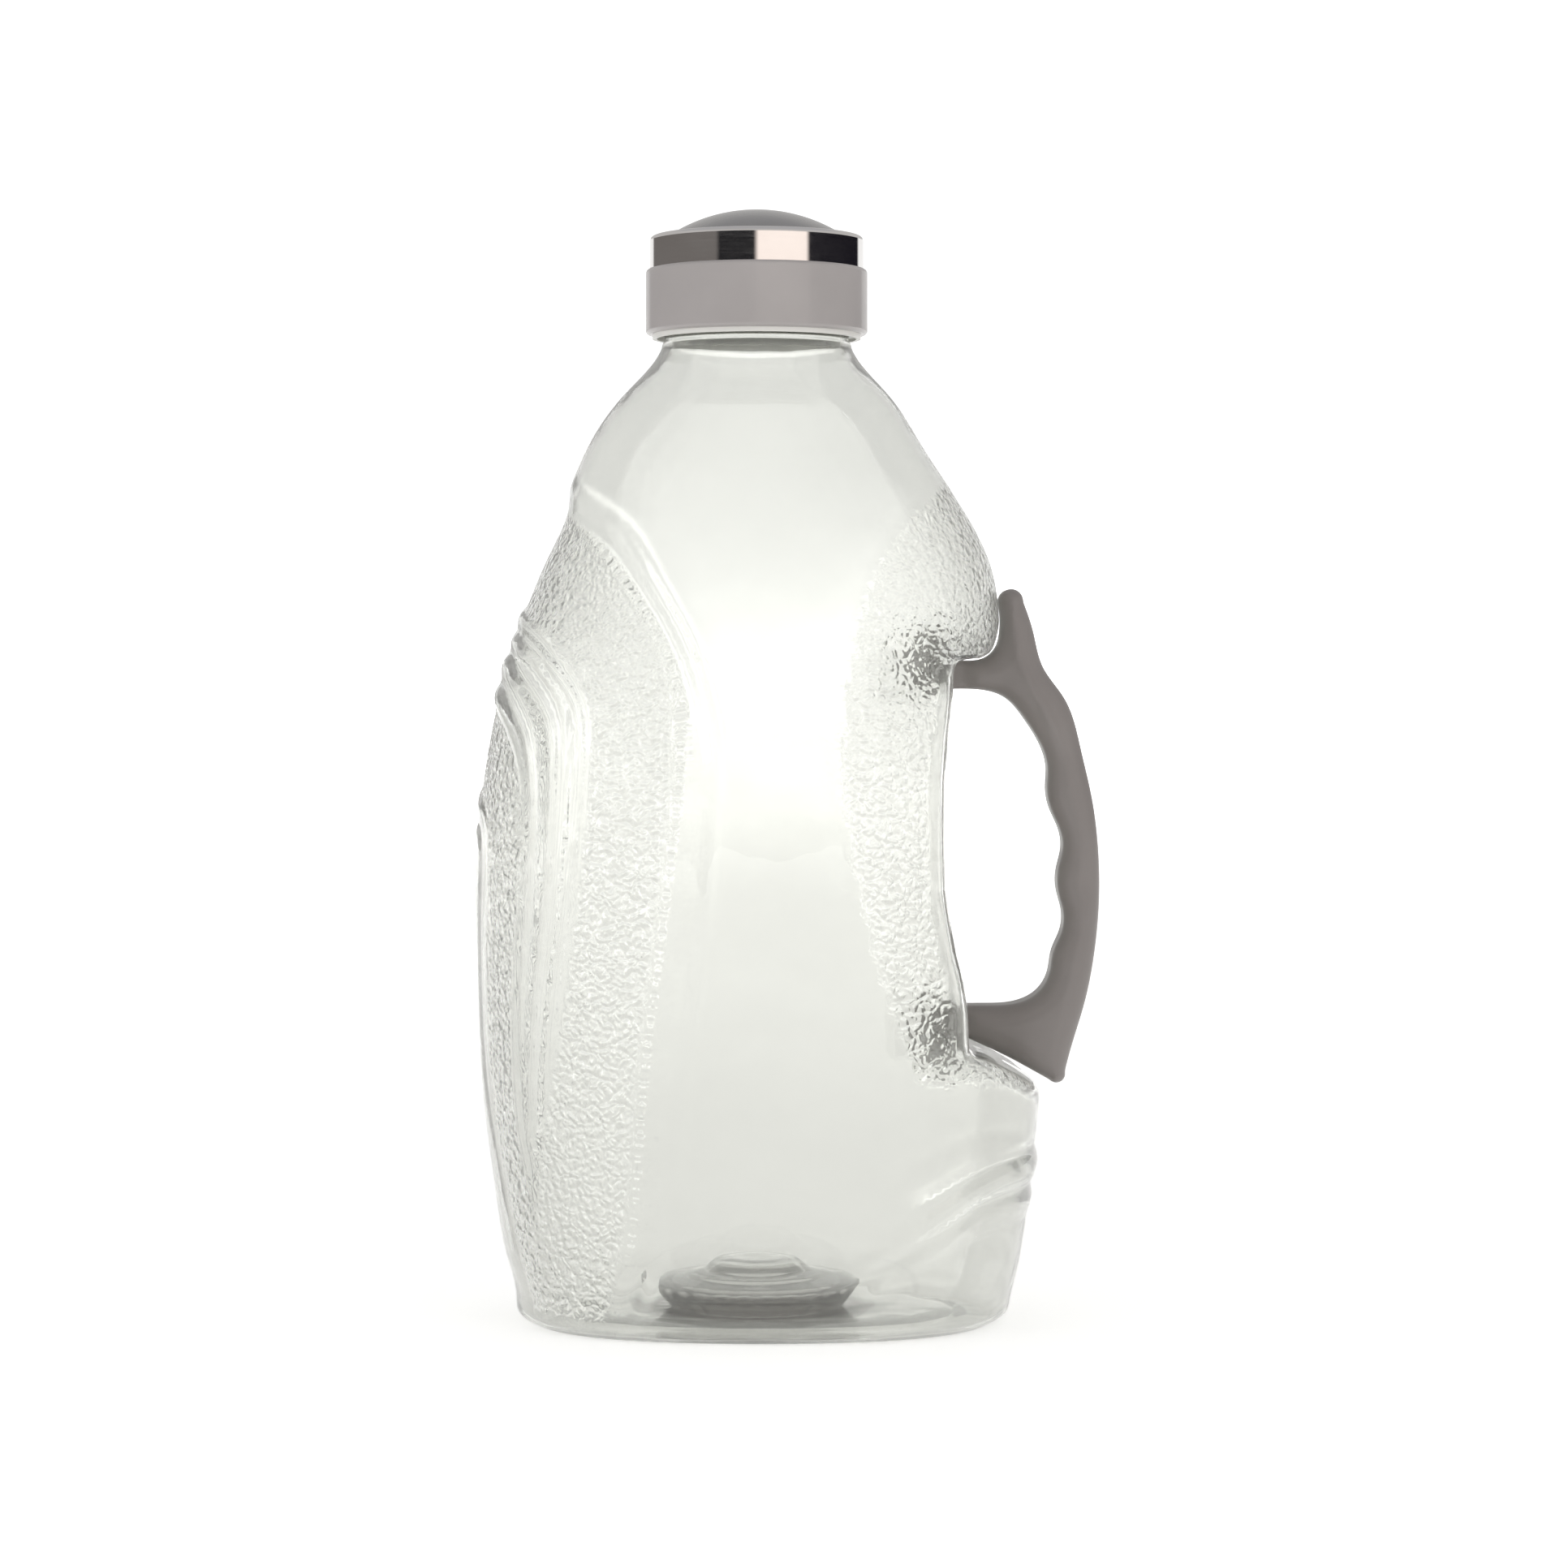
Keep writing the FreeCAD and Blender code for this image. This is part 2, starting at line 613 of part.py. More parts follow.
# ---------------------------------------------------------------- cap

def make_seal():
    body = new_body("cap_seal")
    corners = [("seal_bore", "neck_top"), ("seal_radius", "neck_top"),
               ("seal_radius", "seal_top"), ("seal_bore", "seal_top")]
    revolve(body, "seal_ring", outline_sketch(body, "seal_outline", corners))
    return body


def make_liner():
    body = new_body("cap_liner")
    corners = [("liner_bore", "liner_bottom"), ("liner_radius", "liner_bottom"),
               ("liner_radius", "liner_top"), ("axis_line", "liner_top"),
               ("axis_line", "seal_top"), ("liner_bore", "seal_top")]
    revolve(body, "liner_cup", outline_sketch(body, "liner_outline", corners))
    start = DIMS["thread_start"] - DIMS["thread_pitch"] / 2
    add_thread(body, "liner_thread", DIMS["liner_bore"], start, True)
    return body


def make_cap_shell():
    body = new_body("cap_shell")
    corners = [("liner_radius", "skirt_bottom"), ("skirt_radius", "skirt_bottom"),
               ("skirt_radius", "skirt_top"), ("rim_radius", "skirt_top"),
               ("rim_radius", "rim_top"), ("rim_bore", "rim_top"),
               ("rim_bore", "deck_top"), ("axis_line", "deck_top"),
               ("axis_line", "liner_top"), ("liner_radius", "liner_top")]
    shell = revolve(body, "shell_turned", outline_sketch(body, "shell_outline", corners))
    rims = circle_edges(shell.Shape, DIMS["skirt_radius"], DIMS["skirt_top"])
    rims += circle_edges(shell.Shape, DIMS["skirt_radius"], DIMS["skirt_bottom"])
    round_edges(body, "skirt_rounds", shell, rims, "skirt_round")
    return body


def make_trim_ring():
    body = new_body("trim_ring")
    corners = [("ring_bore", "skirt_top"), ("ring_radius", "skirt_top"),
               ("ring_radius", "ring_top"), ("lip_bore", "ring_top"),
               ("lip_bore", "rim_top"), ("ring_bore", "rim_top")]
    ring = revolve(body, "ring_turned", outline_sketch(body, "ring_outline", corners))
    rims = circle_edges(ring.Shape, DIMS["ring_radius"], DIMS["ring_top"])
    round_edges(body, "ring_shoulder", ring, rims, "ring_round")
    return body


def make_dome():
    """A domed insert on a plug, its flange held down by the trim ring's lip."""
    body = new_body("dome_insert")
    base = at(DIMS["dome_radius"], DIMS["dome_base"])
    apex = at(0.0, DIMS["dome_apex"])
    rise = DIMS["dome_apex"] - DIMS["dome_base"]
    sphere = (DIMS["dome_radius"] ** 2 + rise ** 2) / (2 * rise)
    lean = math.atan2(DIMS["dome_radius"], sphere - rise) / 2
    middle = at(sphere * math.sin(lean), DIMS["dome_apex"] - sphere * (1 - math.cos(lean)))
    flange = DIMS["plug_radius"]
    hollow = DIMS["dome_radius"] - DOME_WALL
    ceiling = DIMS["rim_top"]
    edges = [
        arc(base, middle, apex),
        line(apex, at(0.0, ceiling)),
        line(at(0.0, ceiling), at(hollow, ceiling)),
        line(at(hollow, ceiling), at(hollow, DIMS["deck_top"])),
        line(at(hollow, DIMS["deck_top"]), at(flange, DIMS["deck_top"])),
        line(at(flange, DIMS["deck_top"]), at(flange, DIMS["rim_top"])),
        line(at(flange, DIMS["rim_top"]), at(DIMS["dome_radius"], DIMS["rim_top"])),
        line(at(DIMS["dome_radius"], DIMS["rim_top"]), base),
    ]
    revolve(body, "dome_turned", chain_sketch(body, "dome_outline", edges))
    return body


# ---------------------------------------------------------------- build and export

def check(obj):
    for state in obj.State:
        if state in ("Invalid", "Error"):
            raise RuntimeError("%s failed: %s" % (obj.Label, obj.State))


def main():
    fill_sheet()
    parts = [make_bottle(), make_handle(), make_seal(), make_liner(), make_cap_shell(),
             make_trim_ring(), make_dome()]
    doc.recompute()
    for obj in doc.Objects:
        check(obj)
    os.makedirs("parts", exist_ok=True)
    for part in parts:
        shape = part.Shape
        if shape.isNull() or not shape.isValid():
            raise RuntimeError(part.Label + " has no valid shape")
        print("%-12s %6d solids %9.2f cm3 %s" % (part.Label, len(shape.Solids), shape.Volume / 1000,
                                                 shape.BoundBox))
        shape.exportStep("parts/%s.step" % part.Label)


main()
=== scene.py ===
import math

import bpy
import numpy as np
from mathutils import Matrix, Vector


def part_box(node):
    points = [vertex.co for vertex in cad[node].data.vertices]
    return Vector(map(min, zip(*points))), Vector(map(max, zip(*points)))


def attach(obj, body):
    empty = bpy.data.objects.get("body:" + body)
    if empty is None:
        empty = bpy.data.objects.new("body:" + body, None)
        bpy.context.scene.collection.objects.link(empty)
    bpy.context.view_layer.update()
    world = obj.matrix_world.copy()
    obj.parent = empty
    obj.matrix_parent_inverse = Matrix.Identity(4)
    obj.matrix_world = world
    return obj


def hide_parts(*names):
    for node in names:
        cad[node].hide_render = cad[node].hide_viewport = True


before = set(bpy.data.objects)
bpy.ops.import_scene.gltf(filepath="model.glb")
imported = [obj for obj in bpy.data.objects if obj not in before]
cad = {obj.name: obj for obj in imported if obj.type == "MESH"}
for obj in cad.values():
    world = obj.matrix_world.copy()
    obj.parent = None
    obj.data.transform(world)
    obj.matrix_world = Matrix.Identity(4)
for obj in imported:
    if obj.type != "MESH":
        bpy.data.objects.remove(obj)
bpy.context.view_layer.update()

import openvdb
from mathutils import Vector

# Looks of the large clear water jug.  Design numbers are millimetres in the jug's own frame:
# +Z up from the plane of the foot, the neck axis at x = y = 0, +X towards the handle and -X
# to the front.  Bearings are degrees about the neck axis, 0 at the front and 180 at the handle.

MM = 0.001

bottle_low, bottle_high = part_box("bottle")
seal_low, seal_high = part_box("cap_seal")
AXIS_X = (seal_low.x + seal_high.x) / 2
AXIS_Y = (seal_low.y + seal_high.y) / 2
FOOT_LEVEL = bottle_low.z
NECK_TOP = (bottle_high.z - FOOT_LEVEL) / MM


def in_frame(points):
    """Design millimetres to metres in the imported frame."""
    return np.asarray(points, float) * MM + np.array([AXIS_X, AXIS_Y, FOOT_LEVEL])


# ---------------------------------------------------------------- curves and grids

def smooth_step(value, start, end):
    share = np.clip((np.asarray(value, float) - start) / (end - start), 0.0, 1.0)
    return share * share * (3 - 2 * share)


def natural_spline(knots, values):
    """A function that runs smoothly through the given values."""
    x = np.asarray(knots, float)
    y = np.asarray(values, float)
    count = len(x)
    gap = np.diff(x)
    matrix = np.eye(count)
    right = np.zeros(count)
    for i in range(1, count - 1):
        matrix[i, i - 1:i + 2] = [gap[i - 1], 2 * (gap[i - 1] + gap[i]), gap[i]]
        right[i] = 6 * ((y[i + 1] - y[i]) / gap[i] - (y[i] - y[i - 1]) / gap[i - 1])
    bend = np.linalg.solve(matrix, right)

    def at(where):
        where = np.asarray(where, float)
        i = np.clip(np.searchsorted(x, where) - 1, 0, count - 2)
        h = gap[i]
        before = x[i + 1] - where
        after = where - x[i]
        return (bend[i] * before ** 3 / (6 * h) + bend[i + 1] * after ** 3 / (6 * h)
                + (y[i] / h - bend[i] * h / 6) * before
                + (y[i + 1] / h - bend[i + 1] * h / 6) * after)

    return at


def curve_through(points, step):
    """Points about one step apart on a smooth curve through the given ones."""
    points = np.asarray(points, float)
    lengths = np.concatenate([[0], np.cumsum(np.linalg.norm(np.diff(points, axis=0), axis=1))])
    count = max(2, int(lengths[-1] / step) + 1)
    where = np.linspace(0, lengths[-1], count)
    return np.column_stack([natural_spline(lengths, points[:, i])(where) for i in range(points.shape[1])])


def arc_through(start, middle, end, count=16):
    """Points on the circle arc through three points."""
    (ax, ay), (bx, by), (cx, cy) = start, middle, end
    d = 2 * (ax * (by - cy) + bx * (cy - ay) + cx * (ay - by))
    a2, b2, c2 = ax * ax + ay * ay, bx * bx + by * by, cx * cx + cy * cy
    ux = (a2 * (by - cy) + b2 * (cy - ay) + c2 * (ay - by)) / d
    uy = (a2 * (cx - bx) + b2 * (ax - cx) + c2 * (bx - ax)) / d
    first = math.atan2(ay - uy, ax - ux)
    last = math.atan2(cy - uy, cx - ux)
    between = math.atan2(by - uy, bx - ux)
    turn = (last - first) % (2 * math.pi)
    if (between - first) % (2 * math.pi) > turn:
        turn -= 2 * math.pi
    radius = math.hypot(ax - ux, ay - uy)
    angles = first + turn * np.linspace(0, 1, count)
    return np.column_stack([ux + radius * np.cos(angles), uy + radius * np.sin(angles)])


def distance_to_line(points, line, chunk=20000):
    """Distance of each 2-D point to a chain of short segments."""
    start = line[:-1]
    step = line[1:] - line[:-1]
    square = np.maximum((step ** 2).sum(1), 1e-12)
    nearest = np.empty(len(points))
    for first in range(0, len(points), chunk):
        part = points[first:first + chunk]
        away = part[:, None, :] - start[None]
        share = np.clip((away * step[None]).sum(2) / square[None], 0, 1)
        offset = away - share[..., None] * step[None]
        nearest[first:first + chunk] = np.sqrt((offset ** 2).sum(2).min(1))
    return nearest


def new_mesh_object(name, points, faces, sharp_angle=None):
    """A mesh object at the origin, its place in its vertices, shaded smooth."""
    mesh = bpy.data.meshes.new(name)
    mesh.from_pydata(points.tolist(), [], faces)
    mesh.validate()
    mesh.update()
    mesh.shade_smooth()
    if sharp_angle is not None:
        mesh.set_sharp_from_angle(angle=math.radians(sharp_angle))
    made = bpy.data.objects.new(name, mesh)
    bpy.context.scene.collection.objects.link(made)
    return made


def face_outwards(mesh):
    """Turn a closed mesh's faces outwards if its enclosed volume comes out negative."""
    mesh.calc_loop_triangles()
    points = np.array([vertex.co for vertex in mesh.vertices])
    triangles = np.array([triangle.vertices for triangle in mesh.loop_triangles])
    a, b, c = (points[triangles[:, i]] for i in range(3))
    if (a * np.cross(b, c)).sum() < 0:
        mesh.flip_normals()


# ---------------------------------------------------------------- bottle: outline

# Sections of the body: level, reach to the front, reach to the rear, half depth.
STATIONS = [
    (0.0, 60.2, 63.2, 44.0),
    (1.6, 63.1, 66.2, 46.8),
    (5.5, 65.3, 68.5, 48.7),
    (14.0, 67.4, 70.5, 50.0),
    (32.0, 70.6, 73.4, 52.0),
    (62.0, 74.5, 76.6, 54.3),
    (98.0, 76.0, 77.0, 55.4),
    (130.0, 76.4, 76.2, 55.4),
    (158.0, 73.0, 71.4, 54.0),
    (182.0, 67.0, 66.4, 50.6),
    (202.0, 59.6, 64.0, 46.4),
    (218.0, 53.2, 56.6, 42.0),
    (236.0, 45.6, 44.8, 36.6),
    (250.0, 35.8, 35.6, 31.6),
    (259.0, 27.7, 27.7, 27.0),
    (264.0, 25.0, 25.0, 25.0),
]
NECK_LEVEL = 264.0
NECK_RADIUS = 25.0
# Powers of the rounded oval: the body's, a plain circle's, and the levels between the two.
BODY_POWER = 2.35
ROUND_POWER = 2.0
ROUNDING_LEVELS = (230, 260)
WALL = 0.9
NECK_WALL = 1.8
LIP_ROUND = 0.6
# The rounded lip from its outer edge to its inner one: inwards and up from its centre.
LIP_OUTLINE = [(-0.12, 0.3), (-0.35, 0.5), (-0.7, LIP_ROUND), (-1.1, LIP_ROUND), (-1.45, 0.45)]
# The dip in the front line at the shoulder.
NOTCH_DEPTH = 1.0
NOTCH_LEVEL = 216.0
NOTCH_WIDTH = 9.0

# The push-up of the base, from the contact ring inwards: half width, half depth and level of
# the underside, then the same of the face inside the jug.
BASE_RINGS = [
    (57.0, 40.5, 0.0, 57.4, 41.2, 2.2),
    (54.0, 37.2, 0.25, 54.6, 38.0, 1.7),
    (52.6, 35.6, 1.0, 52.0, 35.0, 2.0),
    (51.6, 34.6, 1.5, 50.6, 33.6, 2.8),
    (49.0, 32.0, 1.8, 48.6, 31.6, 3.3),
    (40.0, 29.0, 1.9, 40.0, 29.0, 3.4),
    (31.0, 26.5, 1.9, 31.0, 26.6, 3.4),
    (24.4, 24.0, 2.0, 25.4, 25.2, 3.4),
    (21.6, 21.6, 2.2, 23.2, 23.2, 3.5),
    (21.3, 21.3, 3.2, 23.0, 23.0, 4.3),
    (23.4, 23.4, 5.4, 25.2, 25.2, 6.2),
    (25.6, 25.6, 7.6, 27.4, 27.4, 8.6),
    (26.4, 26.4, 9.0, 28.2, 28.2, 9.9),
    (25.6, 25.6, 9.9, 27.2, 27.2, 11.0),
    (22.0, 22.0, 10.3, 22.0, 22.0, 11.7),
    (18.6, 18.6, 10.5, 19.4, 19.4, 12.0),
    (17.4, 17.4, 11.2, 18.2, 18.2, 12.9),
    (13.4, 13.4, 11.7, 14.4, 14.4, 13.3),
    (12.0, 12.0, 12.9, 13.2, 13.2, 14.4),
    (10.6, 10.6, 14.2, 11.8, 11.8, 15.8),
    (9.4, 9.4, 14.7, 10.4, 10.4, 16.4),
    (5.0, 5.0, 14.9, 5.0, 5.0, 16.6),
]
BASE_APEX = 15.0
INNER_APEX = 16.7
BASE_SHIFT = 1.5
BASE_ROUNDING = (0.5, 12)
DOME_RIB_COUNT = 28
DOME_RIB_HEIGHT = 0.45
DOME_RIB_START = (3.4, 4.6)
DOME_RIB_END = (8.6, 10.0)
DOME_RIB_REACH = 30
# Share of the push-up's painted shade that its top button gets.
BUTTON_SHADE_SHARE = 0.3

# Reach of the hand recess's face at each level, along its two side edges.
RECESS = [
    (45.0, 130.0), (58.0, 96.0), (62.3, 76.9), (63.8, 76.0), (67.8, 69.9), (72.2, 62.2), (73.0, 60.0),
    (73.9, 57.5), (75.5, 55.9), (85.9, 55.5), (92.8, 54.5), (101.3, 52.3), (110.4, 50.6), (117.5, 49.5),
    (128.0, 49.2), (138.5, 49.2), (149.0, 49.5), (161.7, 50.9), (170.1, 52.3), (176.0, 52.6),
    (177.6, 53.2), (178.3, 56.0), (178.6, 60.0), (180.2, 63.0), (182.7, 64.8), (185.6, 66.5),
    (190.0, 70.0), (195.0, 80.0), (205.0, 130.0),
]
# How much deeper the face is in its middle, half its width, and the softness of its edges.
RECESS_HOLLOW = 2.5
RECESS_HALF_SPAN = 38.0
RECESS_BLEND = 4.0
HOLLOW_START = (73, 80)
HOLLOW_END = (174, 178)
# The smooth strip beside the recess: its levels and how far from the face it fades.
STRIP_START = (68, 74)
STRIP_END = (176.5, 178.2)
STRIP_FADE = (-5.8, -4.2)
FACE_FADE = 3.0

# Rings per millimetre of height, and where each density holds.
LOWER_DENSITY = 0.80
UPPER_DENSITY = 0.55
FOOT_DENSITY = 2.0
NECK_DENSITY = 1.6
UPPER_START = 200
FOOT_END = 8
NECK_ZONE = 6
RECESS_LEVELS = (60, 192)
RECESS_REACH = 78
STEEPEST = 12.0
RING_POINTS = 256
FARTHEST_REACH = 120.0
HALVINGS = 36


def running_total(fine, density):
    """Running total of a density along fine steps."""
    return np.concatenate([[0], np.cumsum(density[:-1] * np.diff(fine))])


def ring_levels():
    """Levels of the body's rings, closer together where the outline turns or carries detail."""
    fine = np.arange(0.0, NECK_TOP - LIP_ROUND, 0.02)
    reach = np.interp(fine, *np.array(RECESS).T)
    steep = np.minimum(np.abs(np.gradient(reach, fine)), STEEPEST)
    in_recess = (reach < RECESS_REACH) & (fine > RECESS_LEVELS[0]) & (fine < RECESS_LEVELS[1])
    density = np.where(fine < UPPER_START, LOWER_DENSITY, UPPER_DENSITY)
    density = np.where(in_recess, LOWER_DENSITY * np.sqrt(1 + steep ** 2 * 0.5), density)
    density = np.where(fine < FOOT_END, FOOT_DENSITY, density)
    density = np.where(fine > NECK_LEVEL - NECK_ZONE, NECK_DENSITY, density)
    total = running_total(fine, density)
    count = int(round(total[-1]))
    return np.interp(np.linspace(0, total[-1], count), total, fine)


def ring_bearings():
    """Bearings round a ring, from -180 to 180 degrees, twice as close over the ribbed front."""
    fine = np.linspace(-180, 180, 7201)
    density = 1.0 - 0.5 * smooth_step(np.abs(fine), 82, 98)
    total = running_total(fine, density)
    return np.interp(np.arange(RING_POINTS) * total[-1] / RING_POINTS, total, fine)


def oval_reach(front, rear, depth, power, bearing):
    """Distance from the neck axis to a rounded oval at each bearing, for arrays of ovals."""
    middle = (rear - front) / 2
    half_width = (rear + front) / 2
    across = -np.cos(np.radians(bearing))
    along = np.sin(np.radians(bearing))
    low = np.zeros(np.broadcast_shapes(front.shape, bearing.shape))
    high = low + FARTHEST_REACH
    for _ in range(HALVINGS):
        reach = (low + high) / 2
        outside = (np.abs((reach * across - middle) / half_width) ** power
                   + np.abs(reach * along / depth) ** power) > 1
        high = np.where(outside, reach, high)
        low = np.where(outside, low, reach)
    return (low + high) / 2


def base_rings(first_column):
    """Front reach, rear reach, half depth, power and level of the base's rings, middle first."""
    table = np.array(BASE_RINGS)[::-1, first_column:first_column + 3]
    halves = (table[:-1] + table[1:]) / 2
    refined = np.empty((len(table) + len(halves), 3))
    refined[0::2] = table
    refined[1::2] = halves
    width, depth, level = refined.T
    softness = smooth_step(width - depth, *BASE_ROUNDING)
    power = ROUND_POWER + (BODY_POWER - ROUND_POWER) * softness
    return width - BASE_SHIFT * softness, width + BASE_SHIFT * softness, depth, power, level


def body_rings():
    """Front reach, rear reach, half depth, power and level of every outer ring, base first."""
    table = np.array(STATIONS)
    levels = ring_levels()
    splines = [natural_spline(table[:, 0], table[:, i]) for i in (1, 2, 3)]
    sizes = [np.where(levels < NECK_LEVEL, spline(np.minimum(levels, NECK_LEVEL)), NECK_RADIUS)
             for spline in splines]
    front, rear, depth = sizes
    notch = NOTCH_DEPTH * np.exp(-((levels - NOTCH_LEVEL) / NOTCH_WIDTH) ** 2)
    front = front - notch
    power = BODY_POWER + (ROUND_POWER - BODY_POWER) * smooth_step(levels, *ROUNDING_LEVELS)
    base = base_rings(0)
    front, rear, depth, power, level = [
        np.concatenate(pair) for pair in zip(base, (front, rear, depth, power, levels))]
    return front, rear, depth, power, level, len(base[0])


def soft_minimum(a, b, blend):
    share = np.clip(0.5 + 0.5 * (b - a) / blend, 0, 1)
    return b * (1 - share) + a * share - blend * share * (1 - share)


# ---------------------------------------------------------------- bottle: relief

# Lines of the moulded relief as (bearing, level); the same on both sides of the jug.
BAND_OUTER = [(0, 224.4), (31.4, 217), (44.6, 210.7), (57.5, 197.8), (68.4, 183), (74.8, 168.3),
              (78.1, 149.5), (77.7, 128.6), (74.6, 97.2), (70.1, 65.7), (66.3, 44.5), (59.9, 21), (55, 6)]
GRAIN_EDGE = [(0, 219), (18.1, 215.7), (41.3, 204.3), (56.5, 189.3), (64.6, 174.6), (67.3, 159.9),
              (67.6, 147.3), (65.4, 122.3), (62.4, 97.1), (59.1, 71.8), (56, 44.3), (51.4, 20.6), (46, 5)]
RIB_EDGES = [
    [(0, 193.6), (18, 190), (32.6, 183.6), (41.9, 173.8), (46.9, 165.5), (48.3, 152), (47.5, 130),
     (45.1, 105.8), (41, 79.7), (35.2, 53.3), (29.4, 28)],
    [(0, 187), (15.6, 185), (28.6, 180), (37.4, 173.5), (42.4, 167.1), (45, 155), (44.8, 138),
     (42.8, 116), (39, 87), (35.5, 62), (32, 45), (29.3, 28)],
    [(0, 181), (12.2, 180), (22.5, 175.1), (30.9, 168.6), (35.6, 162.1), (38, 150), (38.3, 134),
     (37, 113), (34.4, 92.3), (31.8, 66), (30.7, 48), (29.2, 28)],
    [(0, 173), (11.3, 171.8), (22.4, 165.3), (28.1, 158.8), (32.2, 146), (33.1, 132), (31.8, 112),
     (30.1, 92), (29, 66), (28.9, 46), (29.1, 28)],
    [(0, 166), (10.3, 164.5), (19.7, 159.7), (25.3, 153.3), (29, 143.5), (30.6, 131), (29.3, 116.5),
     (27, 98), (25.7, 78.6), (25.6, 62), (26.3, 46), (29, 28)],
]
SPINE_EDGES = [
    [(0, 144.8), (13.2, 140.3), (17.9, 133.3), (19, 124), (18.4, 110), (16.8, 88), (17, 64),
     (17.4, 49), (18.8, 36), (21, 18), (23, 6)],
    [(0, 135.8), (12.8, 132), (14.4, 125), (12.9, 110), (11.4, 90), (12.8, 70), (14.8, 52),
     (17, 36), (20, 16), (22, 5)],
]
SWOOSH_EDGES = [
    [(180, 47.6), (166, 47.4), (152.8, 45.2), (145.6, 41.9), (139.2, 37.9), (133.7, 33.6), (126, 27),
     (116, 22)],
    [(180, 38), (163, 37.2), (147.6, 34.2), (141.1, 29.9), (132.6, 25.1), (123.8, 19.4), (114, 14.5)],
    [(180, 30.2), (169, 29.6), (153.1, 28.4), (144.4, 25.3), (136.3, 20.8), (126, 14), (116, 9.5)],
]
REAR_GRAIN_EDGE = [(166.1, 224.9), (138.8, 212.9), (127.1, 199.9), (120.7, 185.1), (116, 168.3),
                   (114.2, 153.6), (114.4, 139), (116.6, 122.2), (119.5, 107.5), (123.5, 90.7),
                   (126.5, 82.2), (130.5, 69.4), (133, 60)]
# Millimetres along the surface for a degree of bearing, and between points of a relief line.
MM_PER_DEGREE = 1.1
LINE_STEP = 1.5
# Heights of the relief, and the fades across its edges.
RIB_HEIGHT = 1.5
RIB_SLOPE = 0.2
RIB_EDGE = (-0.4, 0.5)
BAND_STEP = 0.9
BAND_EDGE = (-1.0, 3.4)
BAND_BEAD = 0.35
GRAIN_STEP = 0.35
REAR_GRAIN_STEP = 0.25
REAR_GRAIN_STRENGTH = 0.6
REAR_GRAIN_START = (64, 70)
REAR_GRAIN_END = (222, 226)
SPINE_SHARE = 0.6
SPINE_CREST = 0.8
SPINE_CREST_WIDTH = 4.0
SPINE_FOOT = (5, 24)
SWOOSH_FADE = (112, 140)
SWOOSH_SHARES = (0.8, 0.5)
SWOOSH_GROOVE = 0.4
SWOOSH_GROOVE_WIDTH = 1.4
# Bead under the neck.
BEAD_HEIGHT = 0.35
BEAD_LEVEL = 263.4
BEAD_WIDTH = 0.8
# Screw thread.
PITCH = 5.0
THREAD_START = 269.0
THREAD_TURNS = 2.0
THREAD_DEPTH = 1.5
THREAD_HALF_ROOT = 1.1
THREAD_HALF_CREST = 0.55


def line_offset(edge, bearing, level):
    """A relief line as a smooth chain, and each point's distance to it along the surface."""
    line = curve_through(np.array(edge) * [MM_PER_DEGREE, 1.0], LINE_STEP)
    points = np.column_stack([bearing.ravel() * MM_PER_DEGREE, level.ravel()])
    return line, distance_to_line(points, line).reshape(bearing.shape)


def signed_offset(edge, bearing, level, rear=False):
    """Distance in from a relief line, positive on its inner side."""
    line, away = line_offset(edge, bearing, level)
    order = np.argsort(line[:, 1])
    across = np.interp(level, line[order, 1], line[order, 0] / MM_PER_DEGREE)
    if rear:
        inside = bearing > across
    else:
        inside = (bearing < across) & (level < line[:, 1].max())
    return np.where(inside, away, -away)


def swoosh_offset(edge, bearing, level):
    """Distance below a sweeping line at the foot of the rear, positive below it."""
    line, away = line_offset(edge, bearing, level)
    order = np.argsort(line[:, 0])
    height = np.interp(bearing * MM_PER_DEGREE, line[order, 0], line[order, 1])
    return np.where(level < height, away, -away)


def pillow(outer, inner):
    """Height of a rounded rib between two relief lines, lower where the rib is narrow."""
    width = np.maximum(outer, 0) + np.maximum(-inner, 0)
    share = np.clip(outer / np.maximum(width, 1e-6), 0, 1)
    height = np.minimum(RIB_HEIGHT, RIB_SLOPE * width)
    return np.where((outer > 0) & (inner < 0), height * (1 - (1 - 2 * share) ** 2), 0.0)


